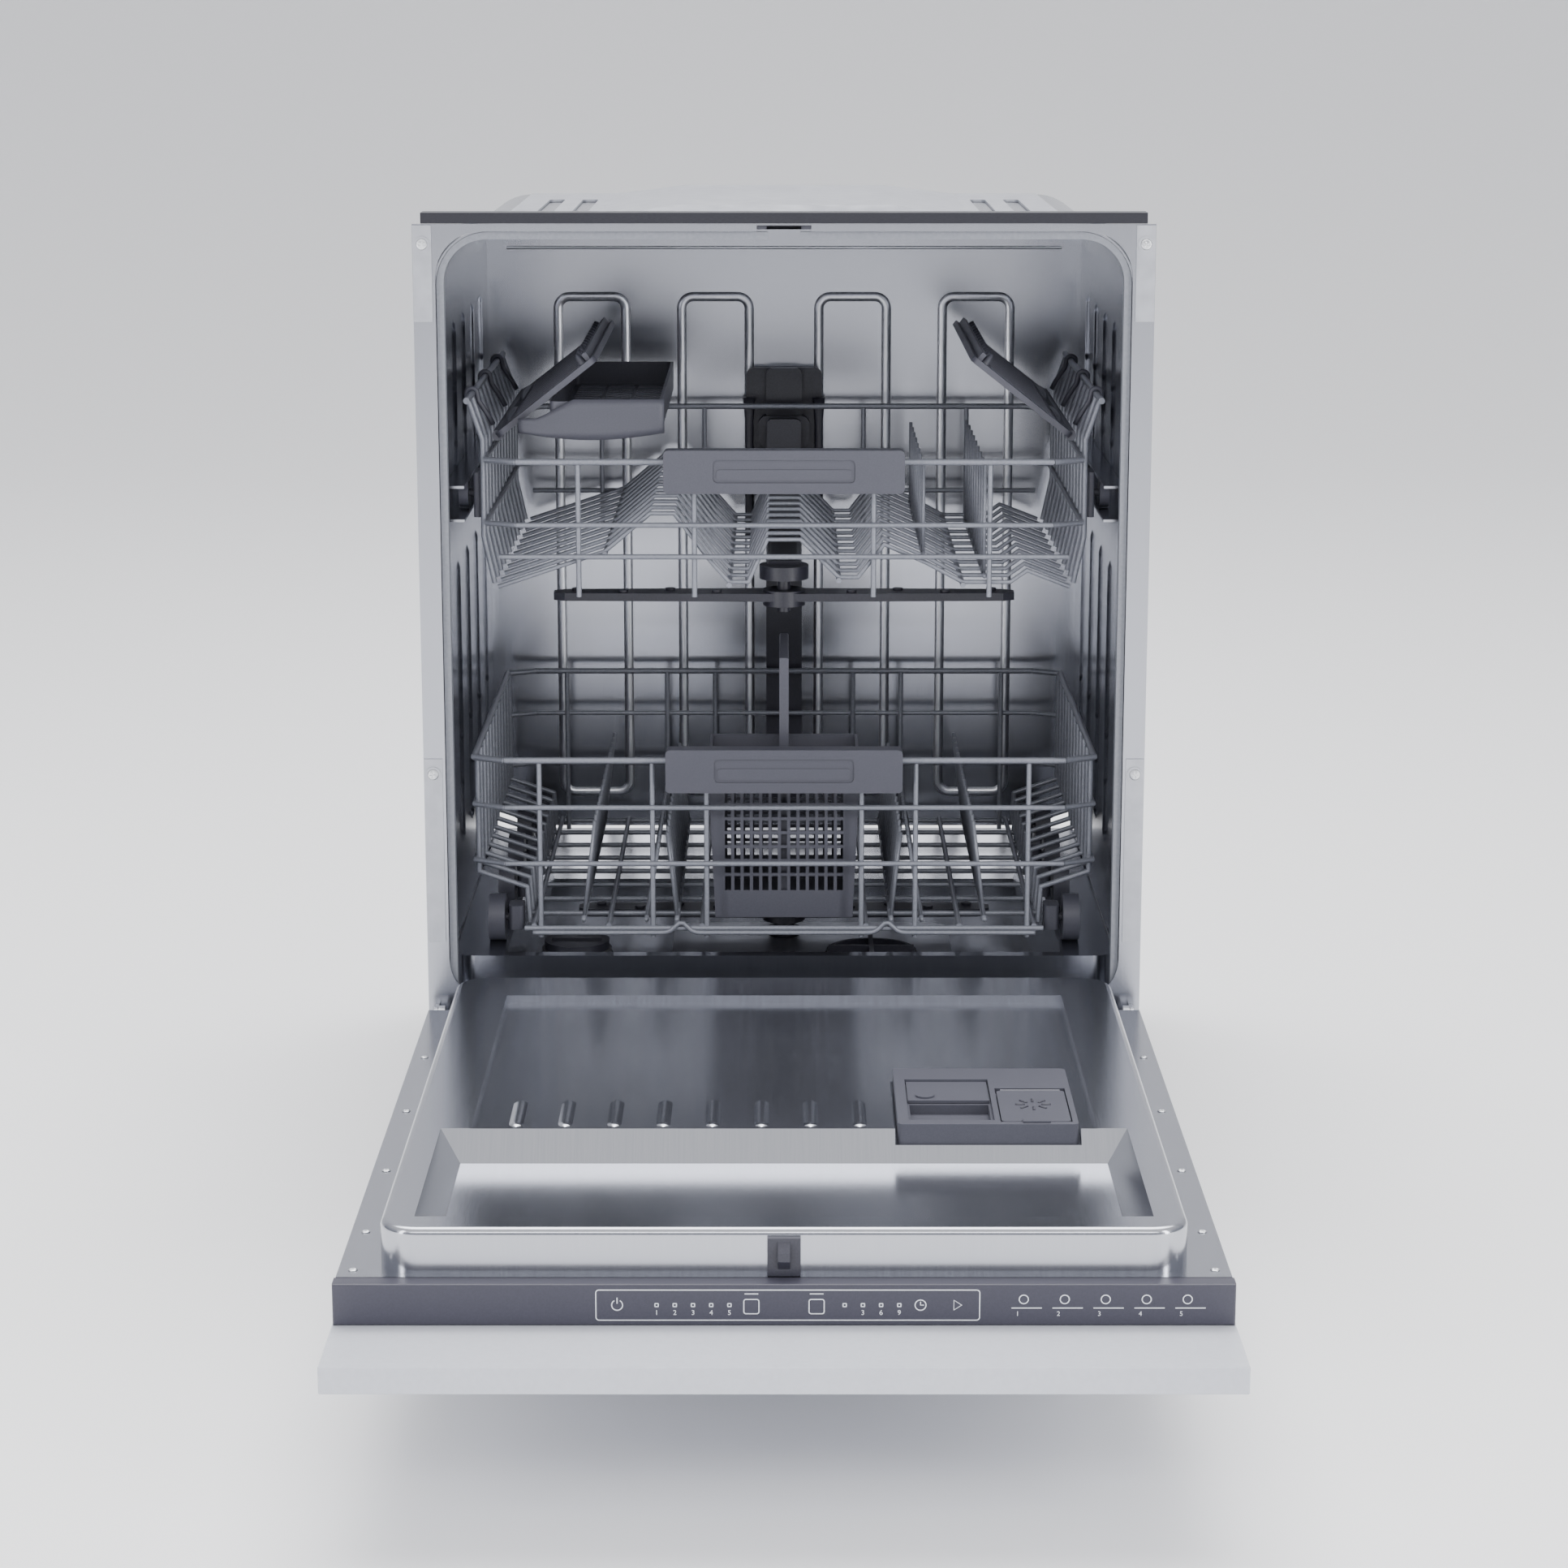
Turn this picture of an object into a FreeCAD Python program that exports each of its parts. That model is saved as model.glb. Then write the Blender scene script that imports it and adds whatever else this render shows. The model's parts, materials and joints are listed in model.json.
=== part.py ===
import FreeCAD, Part
import math
import os

# A built-in dishwasher, 600 mm class, door open and both racks pushed in.
# Frame: X to the right, Y to the back, Z up. Y = 0 is the cabinet's front face, Z = 0 the floor.
V = FreeCAD.Vector
os.makedirs("parts", exist_ok=True)

# Cabinet
WIDTH = 598.0
HEIGHT = 815.0
DEPTH = 550.0
SHEET = 1.0
BASE_LOW = 14.0
BASE_HIGH = 96.0
SIDE_TOP = 778.0

# Tub, measured inside
TUB_HALF = 281.0
TUB_TOP = 800.0
TUB_BACK = 505.0
TUB_FLOOR = 148.0
LEDGE = 189.0
LIP = 158.0
WALL = 1.5
CORNER = 45.0
PAN_FRONT = 33.0

# Door, measured open
HINGE_Y = -13.0
HINGE_Z = 148.0
DOOR_HALF = 297.0
DOOR_FACE = 157.5
DOOR_BACK = 129.0
DOOR_END = -672.0
DOOR_START = -24.0
PAN_HALF = 270.0
PAN_TOP = 189.0
PAN_FLOOR = 168.0
PAN_END = -652.0
PAN_START = -32.0
DECOR_END = -744.0
DECOR_THICK = 19.0

# Racks
RACK_FRONT = 64.0
RACK_BACK = 470.0
WIRE = 2.2
RIM_WIRE = 2.7
LOW_FLOOR = 205.0
LOW_RIM = 352.0
LOW_HALF_FLOOR = 222.0
LOW_HALF = 264.0
UP_FLOOR = 500.0
UP_RIM = 606.0
UP_RAISED = 656.0
UP_HALF_FLOOR = 240.0
UP_HALF = 250.0
UP_HALF_RAISED = 264.0
WHEEL_R = 20.0
WHEEL_Z = LEDGE + WHEEL_R + 0.5
WHEEL_X = 247.0
PIN_R = 3.0
RUNNING = 0.05
ROLLER_R = 12.0
ROLLER_Z = 575.0
ROLLER_X = 270.5
GAP = 0.4
SHELF_PIVOT = (241.0, 624.0)
SHELF_RISE = math.radians(38.0)
SHELF_LONG = 106.0

# Spray arms and sump
ARM_X = 0.0
ARM_Y = 252.0
LOW_ARM_Z = 172.0
UP_ARM_Z = 462.0
SALT_X = -185.0
SALT_Y = 190.0
FILTER_X = 78.0
FILTER_Y = 190.0
INLET_X = 212.0
INLET_Z = 52.0


def box(x0, y0, z0, x1, y1, z1):
    return Part.makeBox(x1 - x0, y1 - y0, z1 - z0, V(x0, y0, z0))


def rod(start, end, radius=WIRE):
    a, b = V(*start), V(*end)
    return Part.makeCylinder(radius, (b - a).Length, a, b - a)


def ball(point, radius=WIRE):
    return Part.makeSphere(radius, V(*point))


def bent(points, radius=WIRE):
    """The straight runs and the rounded corners of one bent wire."""
    runs = [rod(a, b, radius) for a, b in zip(points, points[1:])]
    return runs + [ball(p, radius * 1.03) for p in points[1:-1]]


def join(shapes):
    return shapes[0].multiFuse(shapes[1:]).removeSplitter()


def mirror(shape):
    return shape.mirror(V(0, 0, 0), V(1, 0, 0))


def pair(shape):
    return Part.makeCompound([shape, mirror(shape)])


def rounded(x0, z0, x1, z1, y0, y1, radius):
    """A block along Y whose XZ outline has round corners."""
    block = box(x0, y0, z0, x1, y1, z1)
    along = [e for e in block.Edges if abs(e.Vertexes[0].Y - e.Vertexes[1].Y) > 1e-6]
    return block.makeFillet(radius, along)


def slab(x0, y0, x1, y1, z0, z1, radius):
    """A block along Z whose XY outline has round corners."""
    block = box(x0, y0, z0, x1, y1, z1)
    upright = [e for e in block.Edges if abs(e.Vertexes[0].Z - e.Vertexes[1].Z) > 1e-6]
    return block.makeFillet(radius, upright)


def ring_at(half, y0, y1, z):
    corners = [V(-half, y0, z), V(half, y0, z), V(half, y1, z), V(-half, y1, z), V(-half, y0, z)]
    return Part.makePolygon(corners)


def taper(low, high):
    """A block between two level rectangles, each given as half width, front, back and height."""
    return Part.makeLoft([ring_at(*low), ring_at(*high)], True)


def save(name, shape):
    shape.exportStep("parts/" + name + ".step")
    print(name, len(shape.Solids), round(shape.Volume / 1000.0, 1), shape.isValid())


# ---------------------------------------------------------------- cabinet and tub

def tub_wrapper():
    """One sheet bent over the sides and top of the tub."""
    y0, y1 = 4.0, TUB_BACK - GAP
    outer = rounded(-TUB_HALF - WALL, LIP - 60, TUB_HALF + WALL, TUB_TOP + WALL, y0, y1, CORNER)
    inner = rounded(-TUB_HALF, LIP - 120, TUB_HALF, TUB_TOP, y0 - 1, y1 + 1, CORNER - WALL)
    below = box(-400, y0 - 1, LIP - 70, 400, y1 + 1, LIP + GAP)
    behind = box(-400, PAN_FRONT - GAP, LIP - 1, 400, y1 + 1, LEDGE + 3)
    return outer.cut(inner).cut(below).cut(behind)


def tub_back():
    """The pressed back wall, with four long raised beads."""
    wall = rounded(-TUB_HALF - WALL, LEDGE + 3, TUB_HALF + WALL, TUB_TOP + WALL,
                   TUB_BACK, TUB_BACK + WALL, CORNER)
    for x in (-182.0, -65.0, 65.0, 182.0):
        outer = rounded(x - 34, 224, x + 34, 708, TUB_BACK - 1.5, TUB_BACK + 0.5, 12)
        inner = rounded(x - 30, 228, x + 30, 704, TUB_BACK - 2, TUB_BACK + 1, 9)
        wall = wall.fuse(outer.cut(inner))
    return wall


def tub_floor():
    """The floor pan: a ledge the wheels run on, steep inner sides and a flat middle with holes."""
    side, back = TUB_HALF + WALL, TUB_BACK + WALL
    block = slab(-side, PAN_FRONT, side, back, TUB_FLOOR - WALL, LEDGE, 20)
    hollow = taper((222, 58, 466, TUB_FLOOR), (236, 45, 482, LEDGE + 1))
    kept = taper((224, 56, 468, TUB_FLOOR - WALL - 1), (238.5, 42.5, 484.5, LEDGE - WALL))
    skirt = slab(-TUB_HALF, PAN_FRONT + WALL, TUB_HALF, TUB_BACK, TUB_FLOOR - WALL - 1,
                 LEDGE - WALL, 19)
    pan = block.cut(skirt.cut(kept)).cut(hollow)
    apron = box(-side, 4, LIP - 2, side, PAN_FRONT + 0.5, LIP)
    pan = pan.fuse(apron)
    for x, y, r in ((FILTER_X, FILTER_Y, 44), (ARM_X, ARM_Y, 18), (SALT_X, SALT_Y, 33)):
        pan = pan.cut(Part.makeCylinder(r, 20, V(x, y, TUB_FLOOR - 15)))
    return pan


def front_frame():
    """The folded steel frame round the opening, with a notch for the lock."""
    plate = box(-WIDTH / 2, 0, BASE_HIGH + 26, WIDTH / 2, 3.6, HEIGHT - 9)
    hole = rounded(-TUB_HALF, LIP, TUB_HALF, TUB_TOP, -1, 5, CORNER - 8)
    notch = box(-22, -1, TUB_TOP - 4, 22, 5, HEIGHT - 10)
    return plate.cut(hole).cut(notch)


def tub_seal():
    """The rubber door seal, up both sides and over the top of the opening."""
    side, top = TUB_HALF - GAP, TUB_TOP - GAP
    outer = rounded(-side, LIP - 60, side, top, 4.2, 15, CORNER - WALL - GAP)
    inner = rounded(-side + 6, LIP - 120, side - 6, top - 6, 3, 17, CORNER - 10)
    latch_way = box(-13, 3, top - 10, 13, 17, top + 1)
    return outer.cut(inner).cut(box(-400, 3, LIP - 70, 400, 17, LIP + 1)).cut(latch_way)


def top_plate():
    """The pressed brace over the tub, with a raised middle."""
    plate = box(-235, 25, TUB_TOP + WALL + GAP, 235, 480, TUB_TOP + WALL + GAP + 2)
    z0 = TUB_TOP + WALL + GAP + 1
    rise = taper((165, 100, 478, z0), (92, 150, 462, z0 + 9.6))
    brace = plate.fuse(rise)
    for x in (-205, -175, 175, 205):
        brace = brace.cut(slab(x - 7, 200, x + 7, 380, z0 - 3, z0 + 3, 6))
    return brace


def worktop_strip():
    return box(-292, 0, HEIGHT - 9 + GAP, 292, 22, HEIGHT)


def side_panels():
    """The two outer side sheets, each with a folded front edge."""
    x0 = -WIDTH / 2
    sheet = box(x0, 4.2, BASE_HIGH + 26, x0 + SHEET, DEPTH - 4, SIDE_TOP)
    fold = box(x0, 4.2, BASE_HIGH + 26, x0 + 12, 4.2 + SHEET, SIDE_TOP)
    back = box(x0, DEPTH - 4 - SHEET, BASE_HIGH + 26, x0 + 16, DEPTH - 4, SIDE_TOP)
    return pair(join([sheet, fold, back]))


def fixing_brackets():
    """Four corner brackets on the front frame, each with a screw hole into the furniture."""
    shapes = []
    for z0, z1, hole_z in ((728.0, HEIGHT - 10, 790.0), (210.0, 367.0, 354.0)):
        leg = box(-298.6, -1.4, z0, -283.5, -0.2, z1)
        lug = Part.makeCylinder(6.5, 1.2, V(-291, -2.4, hole_z), V(0, 1, 0))
        hole = Part.makeCylinder(2.2, 8, V(-291, -4, hole_z), V(0, 1, 0))
        shapes.append(leg.fuse(lug).cut(hole))
    return Part.makeCompound(shapes + [mirror(s) for s in shapes])


def door_lock():
    body = box(-21.6, 0.4, TUB_TOP + 1.8, 21.6, 24, HEIGHT - 10.4)
    return body.cut(box(-14, -1, TUB_TOP, 14, 16, TUB_TOP + 4.4))


def base_tray():
    """The plastic base: a shallow tray under the pumps, with foot bosses and a way out for the hose."""
    outer = box(-WIDTH / 2 + 2, 30, BASE_LOW, WIDTH / 2 - 2, DEPTH - 6, BASE_HIGH)
    hollow = box(-WIDTH / 2 + 5, 33, BASE_LOW + 3, WIDTH / 2 - 5, DEPTH - 9, BASE_HIGH + 1)
    hose_way = box(INLET_X - 32, 530, BASE_LOW + 6, INLET_X + 32, DEPTH, BASE_HIGH + 1)
    tray = outer.cut(hollow).cut(hose_way)
    for x in (-270, 270):
        for y in (60, 515):
            boss = box(x - 16, y - 16, BASE_LOW, x + 16, y + 16, BASE_LOW + 26)
            tray = tray.fuse(boss).cut(Part.makeCylinder(5.1, 40, V(x, y, BASE_LOW - 5)))
    return tray


def base_weight():
    return slab(-170, 455, 170, 535, BASE_LOW + 3.4, 88, 6)


def levelling_feet():
    feet = []
    for x in (-270, 270):
        for y in (60, 515):
            pad = Part.makeCylinder(17, 8, V(x, y, 0))
            stem = Part.makeCylinder(5.0, 40, V(x, y, 7))
            hexagon = Part.Face(Part.makePolygon(
                [V(x + 9 * math.cos(k * math.pi / 3), y + 9 * math.sin(k * math.pi / 3), 8)
                 for k in range(7)])).extrude(V(0, 0, 5))
            feet.append(join([pad, stem, hexagon]))
    return Part.makeCompound(feet)


# ---------------------------------------------------------------- water parts in the base

def sump():
    """The moulded sump under the floor, open where the filter drops in."""
    z1 = TUB_FLOOR - WALL - GAP
    cup = Part.makeCylinder(52, z1 - 62, V(FILTER_X, FILTER_Y, 62))
    neck = Part.makeCylinder(26, z1 - 90, V(ARM_X, ARM_Y, 90))
    bridge = box(-20, 190, 92, 90, 262, 120)
    body = join([cup, neck, bridge])
    body = body.cut(Part.makeCylinder(43, 90, V(FILTER_X, FILTER_Y, 68)))
    return body.cut(Part.makeCylinder(10, 70, V(ARM_X, ARM_Y, 100)))


def circulation_pump():
    motor = Part.makeCylinder(38, 95, V(-150, 300, 66), V(1, 0, 0))
    volute = Part.makeCylinder(44, 26, V(-56, 300, 66), V(1, 0, 0))
    foot = box(-140, 270, BASE_LOW + 3.4, -70, 330, 34)
    return join([motor, volute, foot])


def drain_pump():
    motor = Part.makeCylinder(22, 45, V(132, 190, 84), V(1, 0, 0))
    head = Part.makeCylinder(25, 16, V(176, 190, 84), V(1, 0, 0))
    return motor.fuse(head)


def inlet_valve():
    coil = box(194, 380, 68, 230, 410, 104)
    body = box(186, 374, BASE_LOW + 3.4, 238, 416, 68.5)
    thread = Part.makeCylinder(10.2, 30, V(INLET_X, 416, INLET_Z), V(0, 1, 0))
    return join([coil, body, thread])


def water_softener():
    tank = slab(-262, 120, -150, 262, 40, TUB_FLOOR - WALL - GAP, 16)
    neck = Part.makeCylinder(31, 14, V(SALT_X, SALT_Y, TUB_FLOOR - 8))
    bore = Part.makeCylinder(24, 90, V(SALT_X, SALT_Y, 70))
    return tank.fuse(neck).cut(bore)


def salt_cap():
    """The screw cap of the salt container, with a grip bar."""
    z0 = TUB_FLOOR + 6 + GAP
    cap = Part.makeCylinder(29, 7, V(SALT_X, SALT_Y, z0))
    grip = box(SALT_X - 22, SALT_Y - 3, z0 + 6, SALT_X + 22, SALT_Y + 3, z0 + 9)
    plug = Part.makeCylinder(23.5, 12, V(SALT_X, SALT_Y, z0 - 11))
    return join([cap, grip, plug])


def filter_plate():
    """The flat steel filter in the tub floor, with round holes for cylinder and hub."""
    plate = slab(-100, 128, 150, 292, TUB_FLOOR + GAP, TUB_FLOOR + 2, 20)
    plate = plate.cut(Part.makeCylinder(41, 10, V(FILTER_X, FILTER_Y, TUB_FLOOR - 2)))
    return plate.cut(Part.makeCylinder(15, 10, V(ARM_X, ARM_Y, TUB_FLOOR - 2)))


def filter_cylinder():
    """The twist-out fine filter, with a cross grip on top."""
    tube = Part.makeCylinder(40, 70, V(FILTER_X, FILTER_Y, 82))
    tube = tube.cut(Part.makeCylinder(37, 90, V(FILTER_X, FILTER_Y, 86)))
    bars = [box(FILTER_X - 38, FILTER_Y - 2, 140, FILTER_X + 38, FILTER_Y + 2, 156),
            box(FILTER_X - 2, FILTER_Y - 38, 140, FILTER_X + 2, FILTER_Y + 38, 156)]
    return join([tube] + bars)


def spray_hub():
    """The fixed hub that feeds and carries the lower spray arm."""
    stem = Part.makeCylinder(9.5, LOW_ARM_Z - 128.6, V(ARM_X, ARM_Y, 120))
    collar = Part.makeCylinder(14, 5, V(ARM_X, ARM_Y, TUB_FLOOR + 4))
    pin = Part.makeCylinder(6, 26, V(ARM_X, ARM_Y, LOW_ARM_Z - 16))
    return join([stem, collar, pin])


def spray_arm(z, reach, bore):
    """A hollow-looking moulded arm: round hub, two tapered blades and raised nozzles."""
    hub = Part.makeCylinder(19, 14, V(ARM_X, ARM_Y, z - 8))
    blades = []
    for side in (-1, 1):
        outline = [V(ARM_X, ARM_Y - 17, z - 3), V(ARM_X + side * (reach - 10), ARM_Y - 12, z - 3),
                   V(ARM_X + side * reach, ARM_Y - 6, z - 3),
                   V(ARM_X + side * reach, ARM_Y + 6, z - 3),
                   V(ARM_X + side * (reach - 10), ARM_Y + 12, z - 3),
                   V(ARM_X, ARM_Y + 17, z - 3), V(ARM_X, ARM_Y - 17, z - 3)]
        blades.append(Part.Face(Part.makePolygon(outline)).extrude(V(0, 0, 7)))
        for k in range(4):
            x = ARM_X + side * (60 + k * (reach - 80) / 3.0)
            blades.append(Part.makeCylinder(4.5, 3, V(x, ARM_Y + (5 if k % 2 else -5), z + 3)))
    arm = join([hub] + blades)
    return arm.cut(Part.makeCylinder(bore, 40, V(ARM_X, ARM_Y, z - 20)))


def feed_tube():
    """The flat riser on the back wall, with the docking mouth for the upper rack."""
    riser = rounded(-17, LEDGE + 20, 17, 640, 484, TUB_BACK - 2.4, 6)
    plate = rounded(-36, 560, 36, 640, 492, TUB_BACK - 2.4, 8)
    mouth = rounded(-24, 566, 24, 596, 478, 493, 8)
    return join([riser, plate, mouth])


def guide_rails():
    """C-shaped runners on the tub's sides, which the upper rack's rollers run in."""
    x0, x1 = -TUB_HALF + GAP, -TUB_HALF + 17
    outer = box(x0, 33, ROLLER_Z - ROLLER_R - 3, x1, 490, ROLLER_Z + ROLLER_R + 3)
    inner = box(x0 + 1.8, 10, ROLLER_Z - ROLLER_R - 0.8, x1 + 1, 486, ROLLER_Z + ROLLER_R + 0.8)
    return pair(outer.cut(inner))


def chassis_legs():
    """The steel legs that carry the tub on the base, and the hinge plates with their pins."""
    eye = rod((-293, HINGE_Y, HINGE_Z), (-290, HINGE_Y, HINGE_Z), 9.0)
    plate = eye.fuse(box(-293, HINGE_Y, HINGE_Z - 20, -290, -GAP, HINGE_Z + 8))
    pin = rod((-291, HINGE_Y, HINGE_Z), (-282.6, HINGE_Y, HINGE_Z), 5.0)
    shapes = [plate.fuse(pin)]
    for y0, y1 in ((34, 50), (480, 500)):
        shapes.append(box(-295.5, y0, BASE_HIGH + GAP, -284, y1, LEDGE + 60))
    return Part.makeCompound(shapes + [mirror(s) for s in shapes])


def door_springs():
    """The two coil springs in the base that balance the door."""
    helix = Part.makeHelix(6.0, 120.0, 8.0)
    section = Part.Wire([Part.makeCircle(1.2, V(8, 0, 0), V(0, 1, 0))])
    coil = Part.Wire(helix.Edges).makePipeShell([section], True, True)
    coil.rotate(V(0, 0, 0), V(1, 0, 0), -90)
    coil.translate(V(-280, 90, 62))
    return pair(coil)


# ---------------------------------------------------------------- door

def door_inner():
    """The stainless inner shell: flange, raised plug with a recessed floor, and a step."""
    flange = box(-DOOR_HALF, DOOR_END + 14, DOOR_FACE - 1.2, DOOR_HALF, DOOR_START, DOOR_FACE)
    plug = slab(-PAN_HALF, PAN_END, PAN_HALF, PAN_START, DOOR_FACE - 1.2, PAN_TOP, 26)
    edge = [e for e in plug.Edges if e.BoundBox.ZMin > PAN_TOP - 0.01]
    plug = plug.makeFillet(5, edge)
    under = slab(-PAN_HALF + 1.5, PAN_END + 1.5, PAN_HALF - 1.5, PAN_START - 1.5,
                 DOOR_FACE - 2, PAN_FLOOR - 1.5, 24)
    hollow = taper((232, -612, -455, PAN_FLOOR), (248, -628, -437, PAN_TOP + 1))
    table = box(-226, -438, PAN_TOP - 6, 226, -90, PAN_TOP + 1)
    seat = box(80, -446, PAN_TOP - 12, 214, -306, PAN_TOP + 1)
    return flange.fuse(plug).cut(under).cut(hollow).cut(table).cut(seat)


def door_outer():
    """The outer steel tray of the door, open towards the inner shell."""
    z1 = DOOR_FACE - 1.2 - GAP
    outer = box(-DOOR_HALF, DOOR_END + 16, DOOR_BACK, DOOR_HALF, DOOR_START, z1)
    return outer.cut(box(-DOOR_HALF + 1.2, DOOR_END + 17.2, DOOR_BACK + 1.2,
                         DOOR_HALF - 1.2, DOOR_START - 1.2, z1 + 1))


def decor_panel():
    """The furniture board screwed to the door's outside."""
    board = box(-WIDTH / 2, DECOR_END, DOOR_BACK - GAP - DECOR_THICK,
                WIDTH / 2, DOOR_START, DOOR_BACK - GAP)
    return board.makeChamfer(0.8, board.Edges)


def control_panel():
    """The moulded control fascia along the door's free edge."""
    bar = box(-WIDTH / 2 + 1, DOOR_END, DOOR_BACK, WIDTH / 2 - 1, DOOR_END + 13, DOOR_FACE)
    front = [e for e in bar.Edges if e.BoundBox.YMax < DOOR_END + 0.01]
    return bar.makeFillet(1.2, front)


def control_board():
    return box(-130, DOOR_END + 22, DOOR_BACK + 3, 120, DOOR_END + 100, DOOR_FACE - 6)


def door_latch():
    """The hook on the door's end wall that the lock catches."""
    foot = box(-11, PAN_END - 5, DOOR_FACE + 0.3, 11, PAN_END - 0.3, PAN_TOP - 5)
    hook = Part.Face(Part.makePolygon([
        V(0, PAN_END - 4, DOOR_FACE + 4), V(0, PAN_END - 10.5, DOOR_FACE + 12),
        V(0, PAN_END - 10.5, DOOR_FACE + 18), V(0, PAN_END - 4, PAN_TOP - 6),
        V(0, PAN_END - 4, DOOR_FACE + 4)])).extrude(V(8, 0, 0))
    hook.translate(V(-4, 0, 0))
    return foot.fuse(hook)


def dispenser():
    """The detergent and rinse-aid box set into the inner shell."""
    body = slab(82, -444, 212, -308, PAN_TOP - 11.5, PAN_TOP + 5, 4)
    cup = box(92, -432, PAN_TOP - 6, 150, -386, PAN_TOP + 6)
    lid_seat = box(156, -438, PAN_TOP + 1, 208, -358, PAN_TOP + 6)
    slide_seat = box(90, -434, PAN_TOP + 1, 152, -336, PAN_TOP + 6)
    return body.cut(cup).cut(lid_seat).cut(slide_seat)


def rinse_lid():
    """The flap over the rinse-aid mouth, hinged on the tub side."""
    lid = slab(157, -437, 207, -364, PAN_TOP + 1.4, PAN_TOP + 5, 3)
    tab = box(172, -441, PAN_TOP + 5.2, 192, -434, PAN_TOP + 6.4)
    tab = tab.fuse(box(172, -436.5, PAN_TOP + 4, 192, -434, PAN_TOP + 6))
    barrel = rod((160, -362.5, PAN_TOP + 3.6), (204, -362.5, PAN_TOP + 3.6), 2.0)
    return join([lid, tab, barrel])


def detergent_lid():
    """The sliding lid of the detergent cup, standing open."""
    lid = box(91, -383, PAN_TOP + 1.4, 151, -337, PAN_TOP + 3.4)
    thumb = Part.makeCylinder(7, 1.6, V(104, -372, PAN_TOP + 3.2))
    return lid.fuse(thumb)


def door_bottom_seal():
    return box(-240, PAN_START + 0.4, DOOR_FACE + 0.4, 240, PAN_START + 7, PAN_TOP - 12)


def hinge_arms():
    """The door's side arms, each with an eye that turns on the hinge pin."""
    eye = rod((-289.4, HINGE_Y, HINGE_Z), (-284, HINGE_Y, HINGE_Z), 10.0)
    arm = box(-289.4, DOOR_START, 141, -284, HINGE_Y, DOOR_FACE - 1.8)
    bore = rod((-300, HINGE_Y, HINGE_Z), (-270, HINGE_Y, HINGE_Z), 5.0 + RUNNING)
    return pair(arm.fuse(eye).cut(bore))


# ---------------------------------------------------------------- racks

def spread(a, b, count):
    return [a + (b - a) * k / (count - 1.0) for k in range(count)]


def lower_rack_floor():
    """The flat wire floor of the lower rack."""
    wires = []
    for y in spread(RACK_FRONT, RACK_BACK, 9):
        wires.append(rod((-LOW_HALF_FLOOR, y, LOW_FLOOR), (LOW_HALF_FLOOR, y, LOW_FLOOR)))
    for x in (-214, -150, -92, -70, 70, 92, 150, 214):
        wires.append(rod((x, RACK_FRONT, LOW_FLOOR + 2), (x, RACK_BACK, LOW_FLOOR + 2)))
    return join(wires)


def lower_rack_sides():
    """Two side walls of upright wires, cranked out above the wheels, with three rails."""
    f, b = RACK_FRONT, RACK_BACK
    wires = []
    for x, z, r in ((-LOW_HALF, LOW_RIM, RIM_WIRE), (-LOW_HALF, 311, WIRE), (-LOW_HALF, 262, WIRE)):
        wires.append(rod((x, f + 14, z), (x, b - 8, z), r))
    for y in spread(f + 22, b - 16, 12):
        points = [(-LOW_HALF_FLOOR + 3, y, LOW_FLOOR), (-LOW_HALF_FLOOR + 1, y, 236),
                  (-LOW_HALF + 2, y, 250), (-LOW_HALF + 2, y, LOW_RIM)]
        wires += bent(points)
    return pair(join(wires))


def lower_rack_ends():
    """The front and back walls of the lower rack."""
    ends = []
    for y, turn in ((RACK_FRONT - 1, 1), (RACK_BACK + 1, -1)):
        wires = []
        for z, r in ((LOW_RIM, RIM_WIRE), (311, WIRE), (262, WIRE)):
            corner = [(-LOW_HALF, y + turn * 14, z), (-LOW_HALF + 26, y, z),
                      (LOW_HALF - 26, y, z), (LOW_HALF, y + turn * 14, z)]
            wires += bent(corner, r)
        for x in (-208, -112, -66, 66, 112, 208):
            wires.append(rod((x, y + turn * 2.6, LOW_FLOOR - 8), (x, y + turn * 2.6, LOW_RIM - 1)))
        ends.append(join(wires))
    return Part.makeCompound(ends)


def handle(z0, z1):
    """A moulded rack handle with a recessed middle, clipped in front of the rail."""
    y1 = RACK_FRONT - 1 - RIM_WIRE - 0.3
    body = rounded(-100, z0, 100, z1, y1 - 17, y1, 4)
    recess = rounded(-59, z0 + 9, 59, z1 - 8, y1 - 18, y1 - 15.6, 4)
    rib = rounded(-56, z0 + 11, 56, z1 - 16, y1 - 16.4, y1 - 14, 3)
    return body.cut(recess).fuse(rib)


def cutlery_basket():
    """The open cutlery basket: tapered frame, grid walls, a middle web and a tall handle."""
    y0, y1 = RACK_FRONT + 14, RACK_FRONT + 150
    z0, z1 = LOW_FLOOR + 5, 344.0
    outer = taper((59, y0 + 4, y1 - 4, z0), (65, y0, y1, z1))
    inner = taper((56.5, y0 + 6.5, y1 - 6.5, z0 + 3), (62.5, y0 + 2.5, y1 - 2.5, z1 + 0.5))
    shell = outer.cut(inner)
    slots = []
    for x in spread(-48, 48, 13):
        slots.append(box(x - 2.6, y0 - 5, z0 + 24, x + 2.6, y1 + 5, z1 - 22))
    for y in spread(y0 + 18, y1 - 18, 11):
        slots.append(box(-80, y - 2.6, z0 + 24, 80, y + 2.6, z1 - 22))
    shell = shell.cut(Part.makeCompound(slots))
    bands = []
    for z in spread(z0 + 38, z1 - 34, 6):
        ring = box(-64, y0 + 0.4, z - 1.3, 64, y1 - 0.4, z + 1.3)
        bands.append(ring.common(outer).cut(inner))
    yc = (y0 + y1) / 2.0
    web = rounded(-4, z0 + 1, 4, 436, yc - 60, yc + 60, 1.5)
    web = web.cut(box(-10, yc - 49, 352, 10, yc + 49, 424))
    return join([shell, web] + bands)


def wheel_positions():
    return spread(RACK_FRONT + 22, RACK_BACK - 44, 4)


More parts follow.
